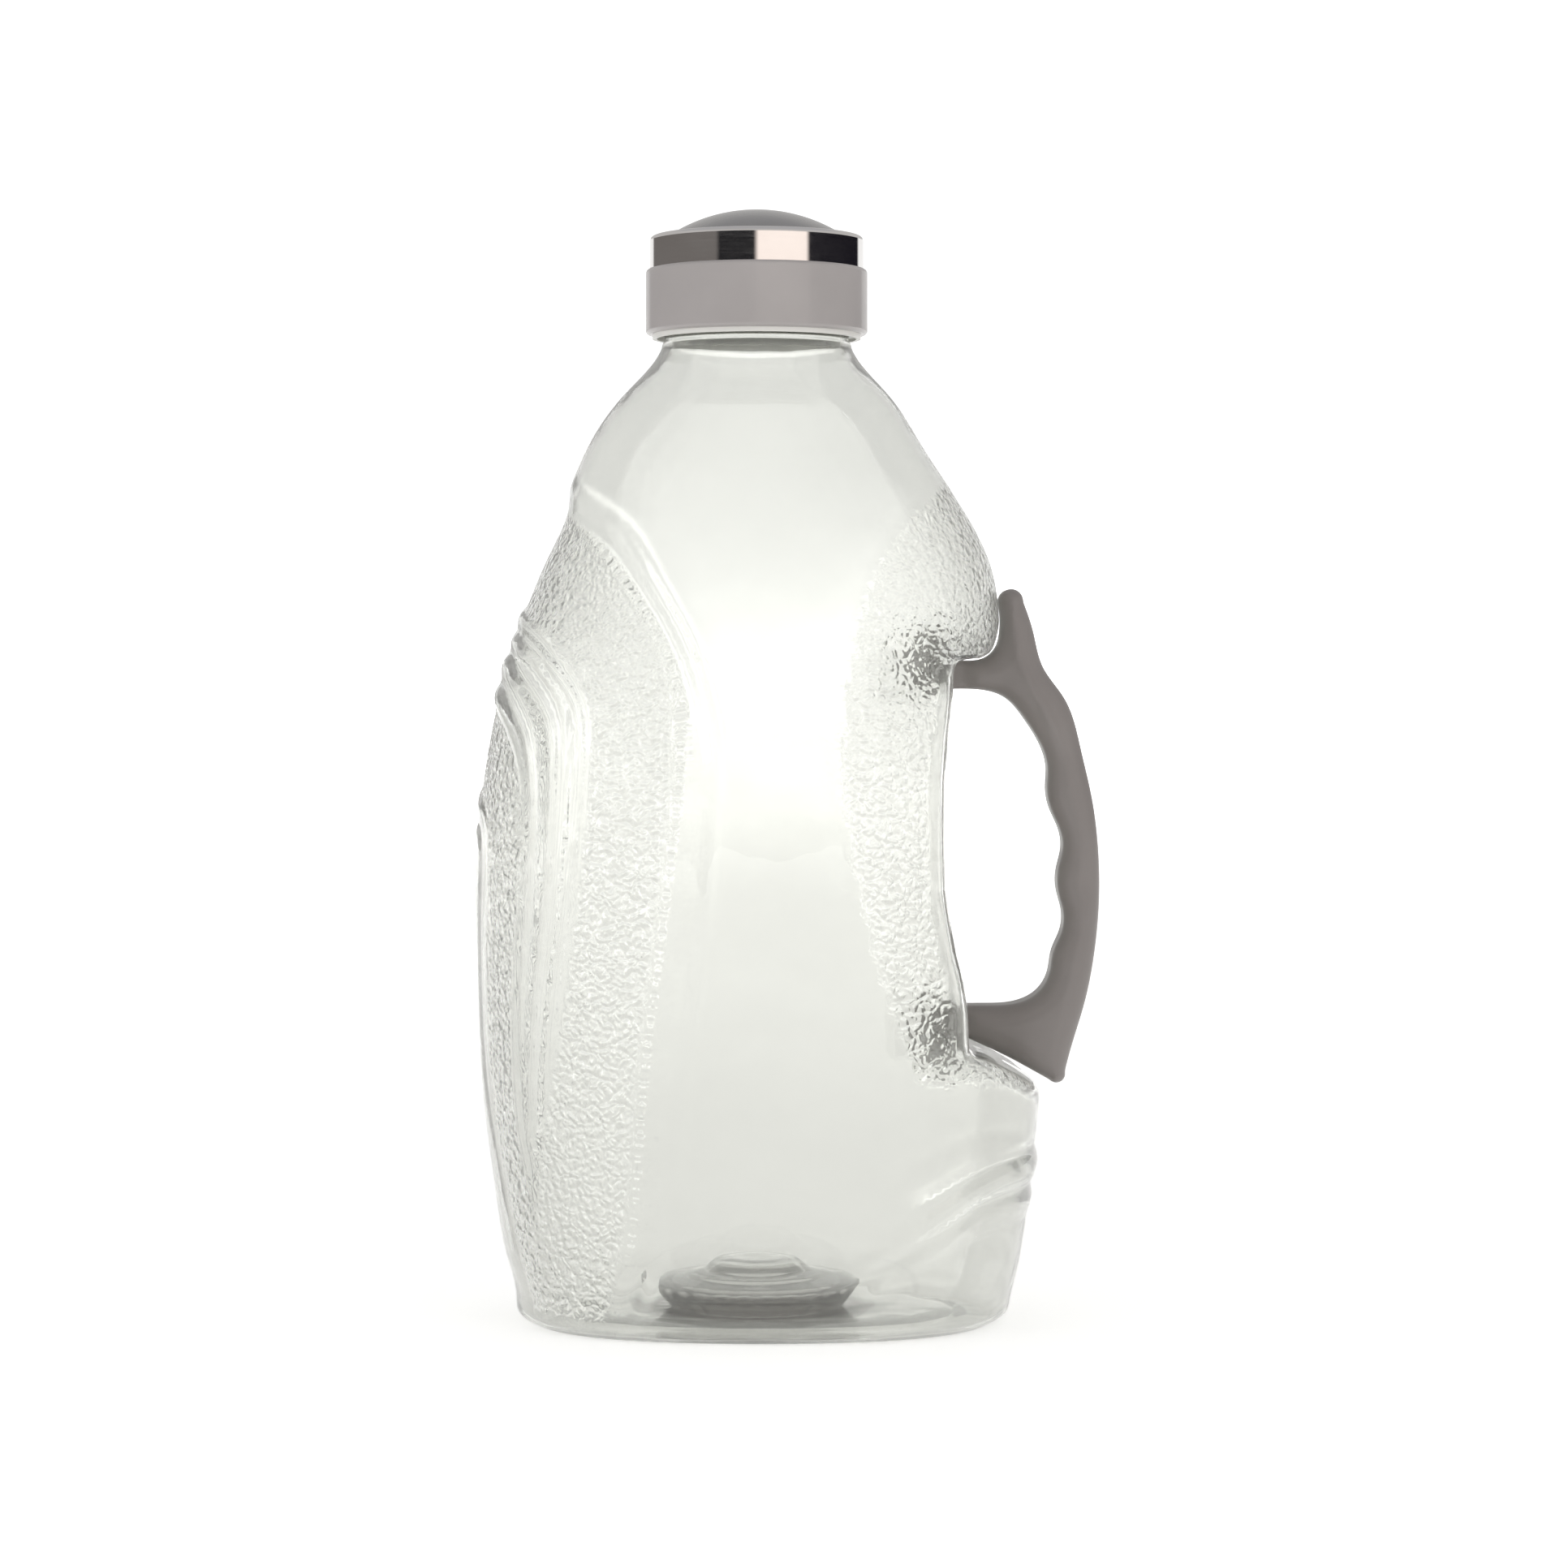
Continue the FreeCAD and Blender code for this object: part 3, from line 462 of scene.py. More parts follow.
def body_relief(bearing, level):
    """Height of the relief above the plain body, and how strongly the surface is grained."""
    side = np.abs(bearing)
    band = signed_offset(BAND_OUTER, side, level)
    grain_in = signed_offset(GRAIN_EDGE, side, level)
    height = -BAND_STEP * smooth_step(band, *BAND_EDGE) * smooth_step(level, 2, 14)
    height -= GRAIN_STEP * smooth_step(grain_in, -0.6, 0.8) * smooth_step(level, 2, 10)
    height += BAND_BEAD * np.exp(-((band + 1.4) / 1.3) ** 2) * smooth_step(level, 6, 20)
    grain = smooth_step(grain_in, -0.2, 1.2)

    ribs = [signed_offset(edge, side, level) for edge in RIB_EDGES]
    for outer, inner in zip(ribs[:-1], ribs[1:]):
        height += pillow(outer, inner)
    grain *= 1 - smooth_step(ribs[0], *RIB_EDGE) * smooth_step(-ribs[-1], *RIB_EDGE)

    spine = [signed_offset(edge, side, level) for edge in SPINE_EDGES]
    spine_fade = smooth_step(level, *SPINE_FOOT)
    height += SPINE_SHARE * pillow(*spine) * spine_fade
    height += SPINE_CREST * (1 - (1 - np.clip(spine[1] / SPINE_CREST_WIDTH, 0, 1)) ** 2) * spine_fade
    grain *= 1 - smooth_step(spine[0], *RIB_EDGE)

    sweeps = [swoosh_offset(edge, side, level) for edge in SWOOSH_EDGES]
    sweep_fade = smooth_step(side, *SWOOSH_FADE)
    for share, above, below in zip(SWOOSH_SHARES, sweeps[:-1], sweeps[1:]):
        height += sweep_fade * share * pillow(above, below)
        height -= SWOOSH_GROOVE * sweep_fade * np.exp(-(above / SWOOSH_GROOVE_WIDTH) ** 2)

    rear = signed_offset(REAR_GRAIN_EDGE, side, level, rear=True)
    rear_grain = smooth_step(rear, -0.4, 1.4) * smooth_step(level, *REAR_GRAIN_START)
    rear_grain *= 1 - smooth_step(level, *REAR_GRAIN_END)
    height -= REAR_GRAIN_STEP * rear_grain
    grain = np.maximum(grain, REAR_GRAIN_STRENGTH * rear_grain)
    return height, grain


def neck_relief(bearing, level):
    """Bead and ledge at the foot of the neck, and the screw thread above them."""
    height = BEAD_HEIGHT * np.exp(-((level - BEAD_LEVEL) / BEAD_WIDTH) ** 2)
    turn = ((bearing - 180.0) % 360.0) / 360.0
    for lap in range(-1, 3):
        along = turn + lap
        crest = THREAD_START + PITCH * along
        fade = smooth_step(along, -0.02, 0.04)
        fade = fade * (1 - smooth_step(along, THREAD_TURNS - 0.04, THREAD_TURNS + 0.02))
        flank = THREAD_HALF_ROOT - THREAD_HALF_CREST
        rise = (THREAD_HALF_ROOT - np.abs(level - crest)) / flank
        height += THREAD_DEPTH * fade * smooth_step(rise, 0, 1)
    return height


def dome_ribs(points):
    """Small radial ribs on the wall of the push-up."""
    radius = np.hypot(points[..., 0], points[..., 1])
    angle = np.arctan2(points[..., 1], points[..., 0])
    level = points[..., 2]
    zone = smooth_step(level, *DOME_RIB_START) * (1 - smooth_step(level, *DOME_RIB_END))
    zone = zone * (radius < DOME_RIB_REACH)
    return DOME_RIB_HEIGHT * zone * np.cos(DOME_RIB_COUNT * angle)


def softened(field, passes):
    """A ring grid of values averaged with its neighbours, a few times over."""
    for _ in range(passes):
        field = (np.roll(field, 1, axis=1) + 2 * field + np.roll(field, -1, axis=1)) / 4
        padded = np.vstack([field[:1], field, field[-1:]])
        field = (padded[:-2] + 2 * field + padded[2:]) / 4
    return field


# ---------------------------------------------------------------- bottle: mesh

def grid_normals(points):
    """Outward normals of a closed ring grid of points."""
    along = np.gradient(points, axis=0)
    round_ring = np.roll(points, -1, axis=1) - np.roll(points, 1, axis=1)
    normal = np.cross(along, round_ring)
    return normal / np.maximum(np.linalg.norm(normal, axis=2, keepdims=True), 1e-9)


def outer_surface():
    """The plain outer skin: points and normals, with the bearing and level of each point, how
    much of it lies on the recess's face or its smooth edge, and the number of base rings."""
    front, rear, depth, power, level, base_count = body_rings()
    bearing = ring_bearings()[None, :]
    columns = [values[:, None] for values in (front, rear, depth, power, level)]
    reach = oval_reach(columns[0], columns[1], columns[2], columns[3], bearing)
    x = -reach * np.cos(np.radians(bearing))
    y = reach * np.sin(np.radians(bearing))
    z = np.broadcast_to(columns[4], x.shape).copy()
    limit = np.interp(z, *np.array(RECESS).T)
    hollow = smooth_step(z, *HOLLOW_START) * (1 - smooth_step(z, *HOLLOW_END))
    limit = limit - RECESS_HOLLOW * hollow * np.clip(1 - (y / RECESS_HALF_SPAN) ** 2, 0, 1)
    cut = np.where(x > 0, soft_minimum(x, limit, RECESS_BLEND), x)
    face = np.clip((x - cut) / FACE_FADE, 0, 1)
    strip = smooth_step(z, *STRIP_START) * (1 - smooth_step(z, *STRIP_END))
    edge = np.maximum(face, strip * smooth_step(x - limit, *STRIP_FADE) * (x > 0))
    points = np.stack([cut, y, z], axis=2)
    flat_bearing = np.broadcast_to(bearing, x.shape)
    return points, grid_normals(points), flat_bearing, z, face, edge, base_count


def base_points(rings):
    """Points of the base's rings at every bearing."""
    front, rear, depth, power, level = [values[:, None] for values in rings]
    bearing = ring_bearings()[None, :]
    reach = oval_reach(front, rear, depth, power, bearing)
    angle = np.radians(bearing)
    return np.stack([-reach * np.cos(angle), reach * np.sin(angle),
                     np.broadcast_to(level, reach.shape)], axis=2)


def bottle_skin():
    """Outer grid, inner grid, and grain strength on the outer grid."""
    points, normals, bearing, level, face, edge, base_count = outer_surface()
    relief = np.zeros(level.shape)
    grain = np.zeros(level.shape)
    body = slice(base_count, None)
    relief[body], grain[body] = body_relief(bearing[body], level[body])
    relief *= 1 - face
    grain *= 1 - edge
    inner_relief = softened(relief, 5)
    relief = softened(relief, 1)
    relief[body] += neck_relief(bearing[body], level[body])
    grain *= smooth_step(level, 3, 9)
    outer = points + normals * relief[..., None]
    outer[:base_count, :, 2] += dome_ribs(outer[:base_count])
    wall = WALL + (NECK_WALL - WALL) * smooth_step(level, 248, 264)
    inner = points + normals * (inner_relief - wall)[..., None]
    inner[:base_count] = base_points(base_rings(3))
    inner[:base_count, :, 2] += dome_ribs(inner[:base_count])
    return outer, inner, grain


def ring_faces(first, second, count):
    return [(first + i, first + (i + 1) % count, second + (i + 1) % count, second + i) for i in range(count)]


def make_bottle():
    """One closed clear shell: base, body and neck outside, a coarser skin inside."""
    outer, inner, grain = bottle_skin()
    count = outer.shape[1]
    vertices = [np.array([[0.0, 0.0, BASE_APEX]])]
    strengths = [np.zeros(1)]
    faces = [(0, 1 + (i + 1) % count, 1 + i) for i in range(count)]
    start = 1
    for ring, strength in zip(outer, grain):
        vertices.append(ring)
        strengths.append(strength)
        start += count
    ring_total = len(outer)
    for index in range(ring_total - 1):
        faces += ring_faces(1 + index * count, 1 + (index + 1) * count, count)
    lip_centre = NECK_TOP - LIP_ROUND
    angles = np.radians(ring_bearings())
    for out, up in LIP_OUTLINE:
        radius = NECK_RADIUS + out
        vertices.append(np.column_stack([-radius * np.cos(angles), radius * np.sin(angles),
                                         np.full(count, lip_centre + up)]))
        strengths.append(np.zeros(count))
        faces += ring_faces(start - count, start, count)
        start += count
    kept = list(range(ring_total - 1, 0, -2))
    half = count // 2
    inner_rings = [inner[index, ::2] for index in kept]
    last_outer = start - count
    for ring in inner_rings:
        vertices.append(ring)
        strengths.append(np.zeros(half))
    for i in range(half):
        a, b, c = last_outer + 2 * i, last_outer + 2 * i + 1, last_outer + (2 * i + 2) % count
        low, high = start + i, start + (i + 1) % half
        faces += [(a, b, low), (b, high, low), (b, c, high)]
    for index in range(len(inner_rings) - 1):
        faces += ring_faces(start + index * half, start + (index + 1) * half, half)
    last = start + (len(inner_rings) - 1) * half
    vertices.append(np.array([[0.0, 0.0, INNER_APEX]]))
    strengths.append(np.zeros(1))
    apex = last + half
    faces += [(apex, last + i, last + (i + 1) % half) for i in range(half)]
    made = new_mesh_object("bottle_clear", in_frame(np.vstack(vertices)), faces)
    face_outwards(made.data)
    set_strength(made, "grain", np.concatenate(strengths))
    # Painted shade: a strength on the push-up's wall and button that darkens the colour there.
    set_strength(made, "painted_shade", painted_base_shade(np.vstack(vertices)))
    return made


def set_strength(made, name, values):
    """Store a strength for each vertex, which the material reads by name."""
    attribute = made.data.attributes.new(name, "FLOAT", "POINT")
    attribute.data.foreach_set("value", values.astype(np.float32))


def painted_base_shade(points):
    """How strongly the base's colour is darkened with painted shade: on the push-up's wall, and less so on
    its top button's.
    """
    radius = np.hypot(points[:, 0], points[:, 1])
    level = points[:, 2]
    bowl = (smooth_step(level, 2.4, 3.4) * (1 - smooth_step(level, 9.4, 10.6))
            * smooth_step(radius, 19.5, 21.0) * (1 - smooth_step(radius, 28.6, 30.0)))
    button = (smooth_step(radius, 9.6, 11.0) * (1 - smooth_step(radius, 13.6, 15.0))
              * smooth_step(level, 12.0, 13.0) * (1 - smooth_step(level, 15.4, 16.2)))
    return np.maximum(bowl, BUTTON_SHADE_SHARE * button)


# ---------------------------------------------------------------- handle

LUG_HALF_WIDTH = 6.0
LUG_GAP = 0.1
# Side outlines of the two lugs, and of the part of each that the wall is moulded round.
UPPER_LUG = [(41.0, 170.3), (60.0, 170.3), (60.0, 178.0), (50.0, 178.0), (50.0, 184.5), (41.0, 184.5)]
LOWER_LUG = [(45.2, 84.9), (45.2, 68.5), (53.6, 68.5), (53.6, 76.2), (60.0, 76.2), (60.0, 84.9)]
UPPER_POCKET = [(41.0, 170.3), (48.5, 170.3), (48.5, 177.5), (50.0, 177.5), (50.0, 184.5), (41.0, 184.5)]
LOWER_POCKET = [(45.2, 84.9), (45.2, 68.5), (53.6, 68.5), (53.6, 76.4), (51.6, 76.4), (51.6, 84.9)]


def grown(outline, margin):
    """A square-cornered outline moved out by an even margin."""
    points = np.array(outline)
    count = len(points)
    area = sum(points[i - 1][0] * points[i][1] - points[i][0] * points[i - 1][1] for i in range(count))
    turn = 1.0 if area > 0 else -1.0
    moved = []
    for i in range(count):
        before = points[i] - points[i - 1]
        after = points[(i + 1) % count] - points[i]
        normals = [turn * np.array([d[1], -d[0]]) / np.linalg.norm(d) for d in (before, after)]
        moved.append(points[i] + margin * (normals[0] + normals[1]))
    return moved


def prism(name, outline, half_width):
    """A straight block with this side outline, for cutting or joining."""
    count = len(outline)
    points = [(x, -half_width, z) for x, z in outline] + [(x, half_width, z) for x, z in outline]
    faces = [tuple(range(count)), tuple(range(2 * count - 1, count - 1, -1))]
    faces += [(i, i + count, (i + 1) % count + count, (i + 1) % count) for i in range(count)]
    block = new_mesh_object(name, in_frame(points), faces)
    face_outwards(block.data)
    return block


def combine(target, operations):
    """Apply exact mesh joins and cuts to the target, then remove the tools."""
    for operation, tool in operations:
        modifier = target.modifiers.new(operation.lower(), "BOOLEAN")
        modifier.operation = operation
        modifier.solver = "MANIFOLD"
        modifier.object = tool
    graph = bpy.context.evaluated_depsgraph_get()
    result = bpy.data.meshes.new_from_object(target.evaluated_get(graph))
    target.modifiers.clear()
    target.data = result
    for _, tool in operations:
        bpy.data.objects.remove(tool)
    return target


def add_lug_pockets(bottle):
    """The wall is moulded round both lugs of the handle: a sleeve inside, a socket outside."""
    operations = []
    for operation, outline, margin in (
        ("UNION", UPPER_POCKET, LUG_GAP + WALL),
        ("UNION", LOWER_POCKET, LUG_GAP + WALL),
        ("DIFFERENCE", UPPER_LUG, LUG_GAP),
        ("DIFFERENCE", LOWER_LUG, LUG_GAP),
    ):
        block = prism("pocket", grown(outline, margin), LUG_HALF_WIDTH + margin)
        operations.append((operation, block))
    combine(bottle, operations)
    bottle.data.shade_smooth()
    bottle.data.set_sharp_from_angle(angle=math.radians(50))
    return bottle


HORN_TIP = [(65.4, 193.8), (68.6, 197.3), (72.0, 193.8)]
HORN_BACK = [(72.0, 193.8), (74.7, 185.6), (77.2, 176.4)]
TOE_TIP = [(83.2, 67.2), (82.4, 64.6), (79.0, 64.9)]
ARM_UNDERSIDE = [(79.0, 64.9), (67.8, 71.0), (56.6, 76.2)]
LOWER_BEND = [(56.2, 84.9), (63.0, 84.9), (70.0, 85.5), (75.6, 88.2)]
UPPER_BEND = [(72.6, 162.0), (66.6, 168.3), (60.0, 170.1), (53.2, 170.3)]
ARM_CORNER = (52.6, 178.0)
SADDLE = [(57.0, 178.0), (60.6, 178.35), (63.3, 179.85), (65.1, 182.4), (65.85, 185.8), (65.95, 190.0),
          (65.4, 193.8)]
LUG_ROUND = 1.0
HANDLE_ROUND = 3.4
HANDLE_VOXEL = 0.6
FIELD_LIMIT = 3.0
# The grip's back and its finger side: reach at the widest level, that level, radius of the bow.
BACK_REACH = 92.5
BACK_MIDDLE = 118.0
BACK_RADIUS = 131.0
FACE_REACH = 82.1
FACE_MIDDLE = 117.0
FACE_RADIUS = 115.0
# Finger hollows: depth, level of one ridge, and pitch.
SCALLOP_DEPTH = 1.1
SCALLOP_MIDDLE = 129.4
SCALLOP_PITCH = 22.0
GRIP_HALF_WIDTH = 8.3
ARM_HALF_WIDTH = 7.5
CROWN_RISE = 0.22
# The soft crease that runs down each side of the handle from the horn.
CREASE = [(68.6, 191.0), (70.9, 178.2), (74.6, 170.8), (78.2, 162.6), (80.5, 157.1), (82.0, 152.0)]
CREASE_HEIGHT = 0.6
CREASE_WIDTH = 1.5


def grip_back(up):
    """Reach of the back of the grip at one level."""
    return BACK_REACH - (up - BACK_MIDDLE) ** 2 / (2 * BACK_RADIUS)


def grip_face(up):
    """Reach of the finger side of the grip at one level."""
    bow = FACE_REACH - (up - FACE_MIDDLE) ** 2 / (2 * FACE_RADIUS)
    return bow + SCALLOP_DEPTH * np.cos(2 * math.pi * (up - SCALLOP_MIDDLE) / SCALLOP_PITCH)


def handle_outline():
    """The handle's closed side outline, with the two hooked lugs, as an (x, z) chain."""
    back_levels = np.linspace(167.9, 72.0, 8)
    back = HORN_BACK + [(grip_back(up), up) for up in back_levels] + TOE_TIP[:1]
    step = SCALLOP_PITCH / 4
    face_levels = SCALLOP_MIDDLE - 6.5 * step + step * np.arange(11)
    face = LOWER_BEND + [(grip_face(up), up) for up in face_levels] + UPPER_BEND
    lower_lug = [(53.6, 76.2), (53.6, 68.5), (45.2, 68.5), (45.2, 84.9)]
    upper_lug = [(41.0, 170.3), (41.0, 184.5), (50.0, 184.5), (50.0, 178.0)]
    parts = [
        arc_through(*HORN_TIP),
        curve_through(back, 1.0),
        arc_through(*TOE_TIP),
        curve_through(ARM_UNDERSIDE, 1.0),
        np.array(lower_lug),
        curve_through(face, 1.0),
        np.array(upper_lug),
        np.array([ARM_CORNER]),
        curve_through(SADDLE, 0.8)[:-1],
    ]
    return np.vstack(parts + [parts[0][:1]])


def inside_outline(points, outline):
    """Whether each point is inside a closed outline."""
    inside = np.zeros(len(points), bool)
    for (ax, ay), (bx, by) in zip(outline[:-1], outline[1:]):
        if ay == by:
            continue
        crosses = (ay > points[:, 1]) != (by > points[:, 1])
        reach = ax + (points[:, 1] - ay) * (bx - ax) / (by - ay)
        inside ^= crosses & (points[:, 0] < reach)
    return inside


def make_handle():
    """The handle as one rounded, softly crowned solid, meshed from its distance field."""
    outline = handle_outline()
    low = outline.min(0) - 3 * HANDLE_VOXEL
    high = outline.max(0) + 3 * HANDLE_VOXEL
    xs = np.arange(low[0], high[0], HANDLE_VOXEL)
    zs = np.arange(low[1], high[1], HANDLE_VOXEL)
    half_count = int((GRIP_HALF_WIDTH + 2.5) / HANDLE_VOXEL) + 2
    ys = np.arange(-half_count, half_count + 1) * HANDLE_VOXEL
    plane = np.stack(np.meshgrid(xs, zs, indexing="ij"), axis=-1).reshape(-1, 2)
    away = distance_to_line(plane, outline)
    away = np.where(inside_outline(plane, outline), -away, away).reshape(len(xs), len(zs))
    half_width = LUG_HALF_WIDTH + (ARM_HALF_WIDTH - LUG_HALF_WIDTH) * smooth_step(xs, 55.5, 60)
    half_width = half_width + (GRIP_HALF_WIDTH - ARM_HALF_WIDTH) * smooth_step(xs, 64, 74)
    crown = CROWN_RISE * np.clip(-away, 0, 5.5) * smooth_step(xs, 55.5, 66)[:, None]
    crease = distance_to_line(plane, curve_through(CREASE, 1.0)).reshape(len(xs), len(zs))
    crease = CREASE_HEIGHT * np.exp(-(crease / CREASE_WIDTH) ** 2) * smooth_step(zs, 152, 164)[None, :]
    roof = half_width[:, None] + crown + crease
    rounding = LUG_ROUND + (HANDLE_ROUND - LUG_ROUND) * smooth_step(xs, 53, 60)
    rounding = rounding[:, None, None]
    side = away[:, None, :] + rounding
    across = np.abs(ys)[None, :, None] - roof[:, None, :] + rounding
    field = (np.minimum(np.maximum(side, across), 0)
             + np.hypot(np.maximum(side, 0), np.maximum(across, 0)) - rounding)
    grid = openvdb.FloatGrid()
    grid.background = FIELD_LIMIT
    clipped = np.clip(field, -FIELD_LIMIT, FIELD_LIMIT)
    grid.copyFromArray(np.ascontiguousarray(clipped, dtype=np.float32))
    points, quads = grid.convertToQuads(isovalue=0.0)
    placed = points * HANDLE_VOXEL + np.array([xs[0], ys[0], zs[0]])
    made = new_mesh_object("handle_grip", in_frame(placed), [tuple(int(i) for i in q) for q in quads])
    face_outwards(made.data)
    made.data.set_sharp_from_angle(angle=math.radians(60))
    return made


# ---------------------------------------------------------------- materials

def new_material(name):
    material = bpy.data.materials.new(name)
    material.use_nodes = True
    nodes = material.node_tree.nodes
    nodes.clear()
    output = nodes.new("ShaderNodeOutputMaterial")
    shader = nodes.new("ShaderNodeBsdfPrincipled")
    material.node_tree.links.new(shader.outputs["BSDF"], output.inputs["Surface"])
    return material, nodes, material.node_tree.links, shader, output


def add_node(nodes, kind, values=None, **settings):
    """A shader node with its settings made and the given values on its inputs."""
    node = nodes.new(kind)
    for name, setting in settings.items():
        setattr(node, name, setting)
    for socket, value in (values or {}).items():
        node.inputs[socket].default_value = value
    return node


def object_noise(nodes, links, scale, detail=3.0, roughness=0.5):
    where = nodes.new("ShaderNodeTexCoord")
    noise = add_node(nodes, "ShaderNodeTexNoise",
                     {"Scale": scale, "Detail": detail, "Roughness": roughness})
    links.new(where.outputs["Object"], noise.inputs["Vector"])
    return noise


def add_bump(nodes, links, height, strength, distance, below=None):
    bump = add_node(nodes, "ShaderNodeBump", {"Strength": strength, "Distance": distance})
    links.new(height, bump.inputs["Height"])
    if below is not None:
        links.new(below, bump.inputs["Normal"])
    return bump.outputs["Normal"]


def vary(nodes, links, source, low, high):
    spread = add_node(nodes, "ShaderNodeMapRange", {"To Min": low, "To Max": high})
    links.new(source, spread.inputs["Value"])
    return spread.outputs["Result"]


def colour_ramp(nodes, links, source, stops):
    """Colours that run through the given stops, each a position and a colour."""
    ramp = nodes.new("ShaderNodeValToRGB")
    elements = ramp.color_ramp.elements
    for element, (position, colour) in zip(elements, (stops[0], stops[-1])):
        element.position = position
        element.color = (*colour, 1)
    for position, colour in stops[1:-1]:
        elements.new(position).color = (*colour, 1)
    links.new(source, ramp.inputs["Fac"])
    return ramp.outputs["Color"]


def tinted(nodes, links, source, dark, light):
    return colour_ramp(nodes, links, source, [(0.3, dark), (0.7, light)])


# Share of the light that passes the thin wall without being bent.
STRAIGHT_THROUGH = 0.13


def clear_pet():
    """Clear moulded plastic: leather grain where the mesh asks for it, faint waves elsewhere, and painted
    shade on the push-up.
    """
    material, nodes, links, shader, output = new_material("clear_pet")
    shader.inputs["Transmission Weight"].default_value = 1.0
    shader.inputs["IOR"].default_value = 1.5
    tone = object_noise(nodes, links, 18.0, 2.0)
    tone_colour = tinted(nodes, links, tone.outputs["Fac"], (0.83, 0.835, 0.81), (0.85, 0.855, 0.83))
    # Painted shade: the base colour darkens towards a dark brown where the mesh's shade strength asks for
    # it, and the surface is rougher there.
    painted_shade = add_node(nodes, "ShaderNodeAttribute", attribute_name="painted_shade")
    shaded_colour = add_node(nodes, "ShaderNodeMixRGB", {"Color2": (0.17, 0.16, 0.15, 1)})
    links.new(painted_shade.outputs["Fac"], shaded_colour.inputs["Fac"])
    links.new(tone_colour, shaded_colour.inputs["Color1"])
    links.new(shaded_colour.outputs["Color"], shader.inputs["Base Color"])
    fog = object_noise(nodes, links, 60.0, 2.0)
    clouded = add_node(nodes, "ShaderNodeMath", {1: 0.12}, operation="MULTIPLY_ADD")
    links.new(painted_shade.outputs["Fac"], clouded.inputs[0])
    links.new(vary(nodes, links, fog.outputs["Fac"], 0.0, 0.03), clouded.inputs[2])
    links.new(clouded.outputs["Value"], shader.inputs["Roughness"])
    where = nodes.new("ShaderNodeTexCoord")
    warp = add_node(nodes, "ShaderNodeTexNoise", {"Scale": 260.0, "Detail": 1.0})
    links.new(where.outputs["Object"], warp.inputs["Vector"])
    shifted = add_node(nodes, "ShaderNodeMixRGB", {"Fac": 0.0016}, blend_type="LINEAR_LIGHT")
    links.new(where.outputs["Object"], shifted.inputs["Color1"])
    links.new(warp.outputs["Color"], shifted.inputs["Color2"])
    cells = add_node(nodes, "ShaderNodeTexVoronoi",
                     {"Scale": 620.0, "Smoothness": 0.6}, feature="SMOOTH_F1")
    links.new(shifted.outputs["Color"], cells.inputs["Vector"])
    strength = add_node(nodes, "ShaderNodeAttribute", attribute_name="grain")
    pebbles = add_node(nodes, "ShaderNodeMath", operation="MULTIPLY")
    links.new(cells.outputs["Distance"], pebbles.inputs[0])
    links.new(strength.outputs["Fac"], pebbles.inputs[1])
    waves = object_noise(nodes, links, 34.0, 2.0)
    wavy = add_bump(nodes, links, waves.outputs["Fac"], 0.25, 0.002)
    links.new(add_bump(nodes, links, pebbles.outputs["Value"], 0.85, 0.0009, wavy), shader.inputs["Normal"])
    clear = nodes.new("ShaderNodeBsdfTransparent")
    # The light let straight through darkens there too, as painted shade.
    passed = add_node(nodes, "ShaderNodeMixRGB",
                      {"Color1": (0.855, 0.858, 0.845, 1), "Color2": (0.38, 0.365, 0.35, 1)})
    links.new(painted_shade.outputs["Fac"], passed.inputs["Fac"])
    links.new(passed.outputs["Color"], clear.inputs["Color"])
    path = nodes.new("ShaderNodeLightPath")
    straight = add_node(nodes, "ShaderNodeMath", {1: STRAIGHT_THROUGH}, operation="MAXIMUM")
    links.new(path.outputs["Is Shadow Ray"], straight.inputs[0])
    mix = nodes.new("ShaderNodeMixShader")
    links.new(straight.outputs["Value"], mix.inputs["Fac"])
    links.new(shader.outputs["BSDF"], mix.inputs[1])
    links.new(clear.outputs["BSDF"], mix.inputs[2])
    links.new(mix.outputs["Shader"], output.inputs["Surface"])
    return material


def moulded_plastic(dark, light, roughness, grain_scale, grain_strength, coat=0.0):
    """Opaque moulded plastic: a little uneven in tone and gloss, with a very fine texture."""
    material, nodes, links, shader, _ = new_material("moulded_plastic")
    tone = object_noise(nodes, links, 45.0, 4.0)
    links.new(tinted(nodes, links, tone.outputs["Fac"], dark, light), shader.inputs["Base Color"])
    gloss = object_noise(nodes, links, 160.0, 3.0)
    links.new(vary(nodes, links, gloss.outputs["Fac"], roughness - 0.05, roughness + 0.05),
              shader.inputs["Roughness"])
    fine = object_noise(nodes, links, grain_scale, 2.0)
    links.new(add_bump(nodes, links, fine.outputs["Fac"], grain_strength, 0.0002), shader.inputs["Normal"])
    shader.inputs["Coat Weight"].default_value = coat
    shader.inputs["Coat Roughness"].default_value = 0.08
    return material


def polished_trim():
    """Bright plated trim with faint brushing round it."""
    material, nodes, links, shader, _ = new_material("trim_chrome")
    shader.inputs["Metallic"].default_value = 1.0
    tone = object_noise(nodes, links, 70.0, 3.0)
    links.new(tinted(nodes, links, tone.outputs["Fac"], (0.80, 0.775, 0.765), (0.85, 0.83, 0.82)),
              shader.inputs["Base Color"])
    where = nodes.new("ShaderNodeTexCoord")
    stretch = add_node(nodes, "ShaderNodeMapping", {"Scale": (1.0, 1.0, 22.0)})
    links.new(where.outputs["Object"], stretch.inputs["Vector"])
    brushed = add_node(nodes, "ShaderNodeTexNoise", {"Scale": 120.0, "Detail": 4.0})
    links.new(stretch.outputs["Vector"], brushed.inputs["Vector"])
    links.new(vary(nodes, links, brushed.outputs["Fac"], 0.04, 0.11), shader.inputs["Roughness"])
    links.new(add_bump(nodes, links, brushed.outputs["Fac"], 0.05, 0.0001), shader.inputs["Normal"])
    return material


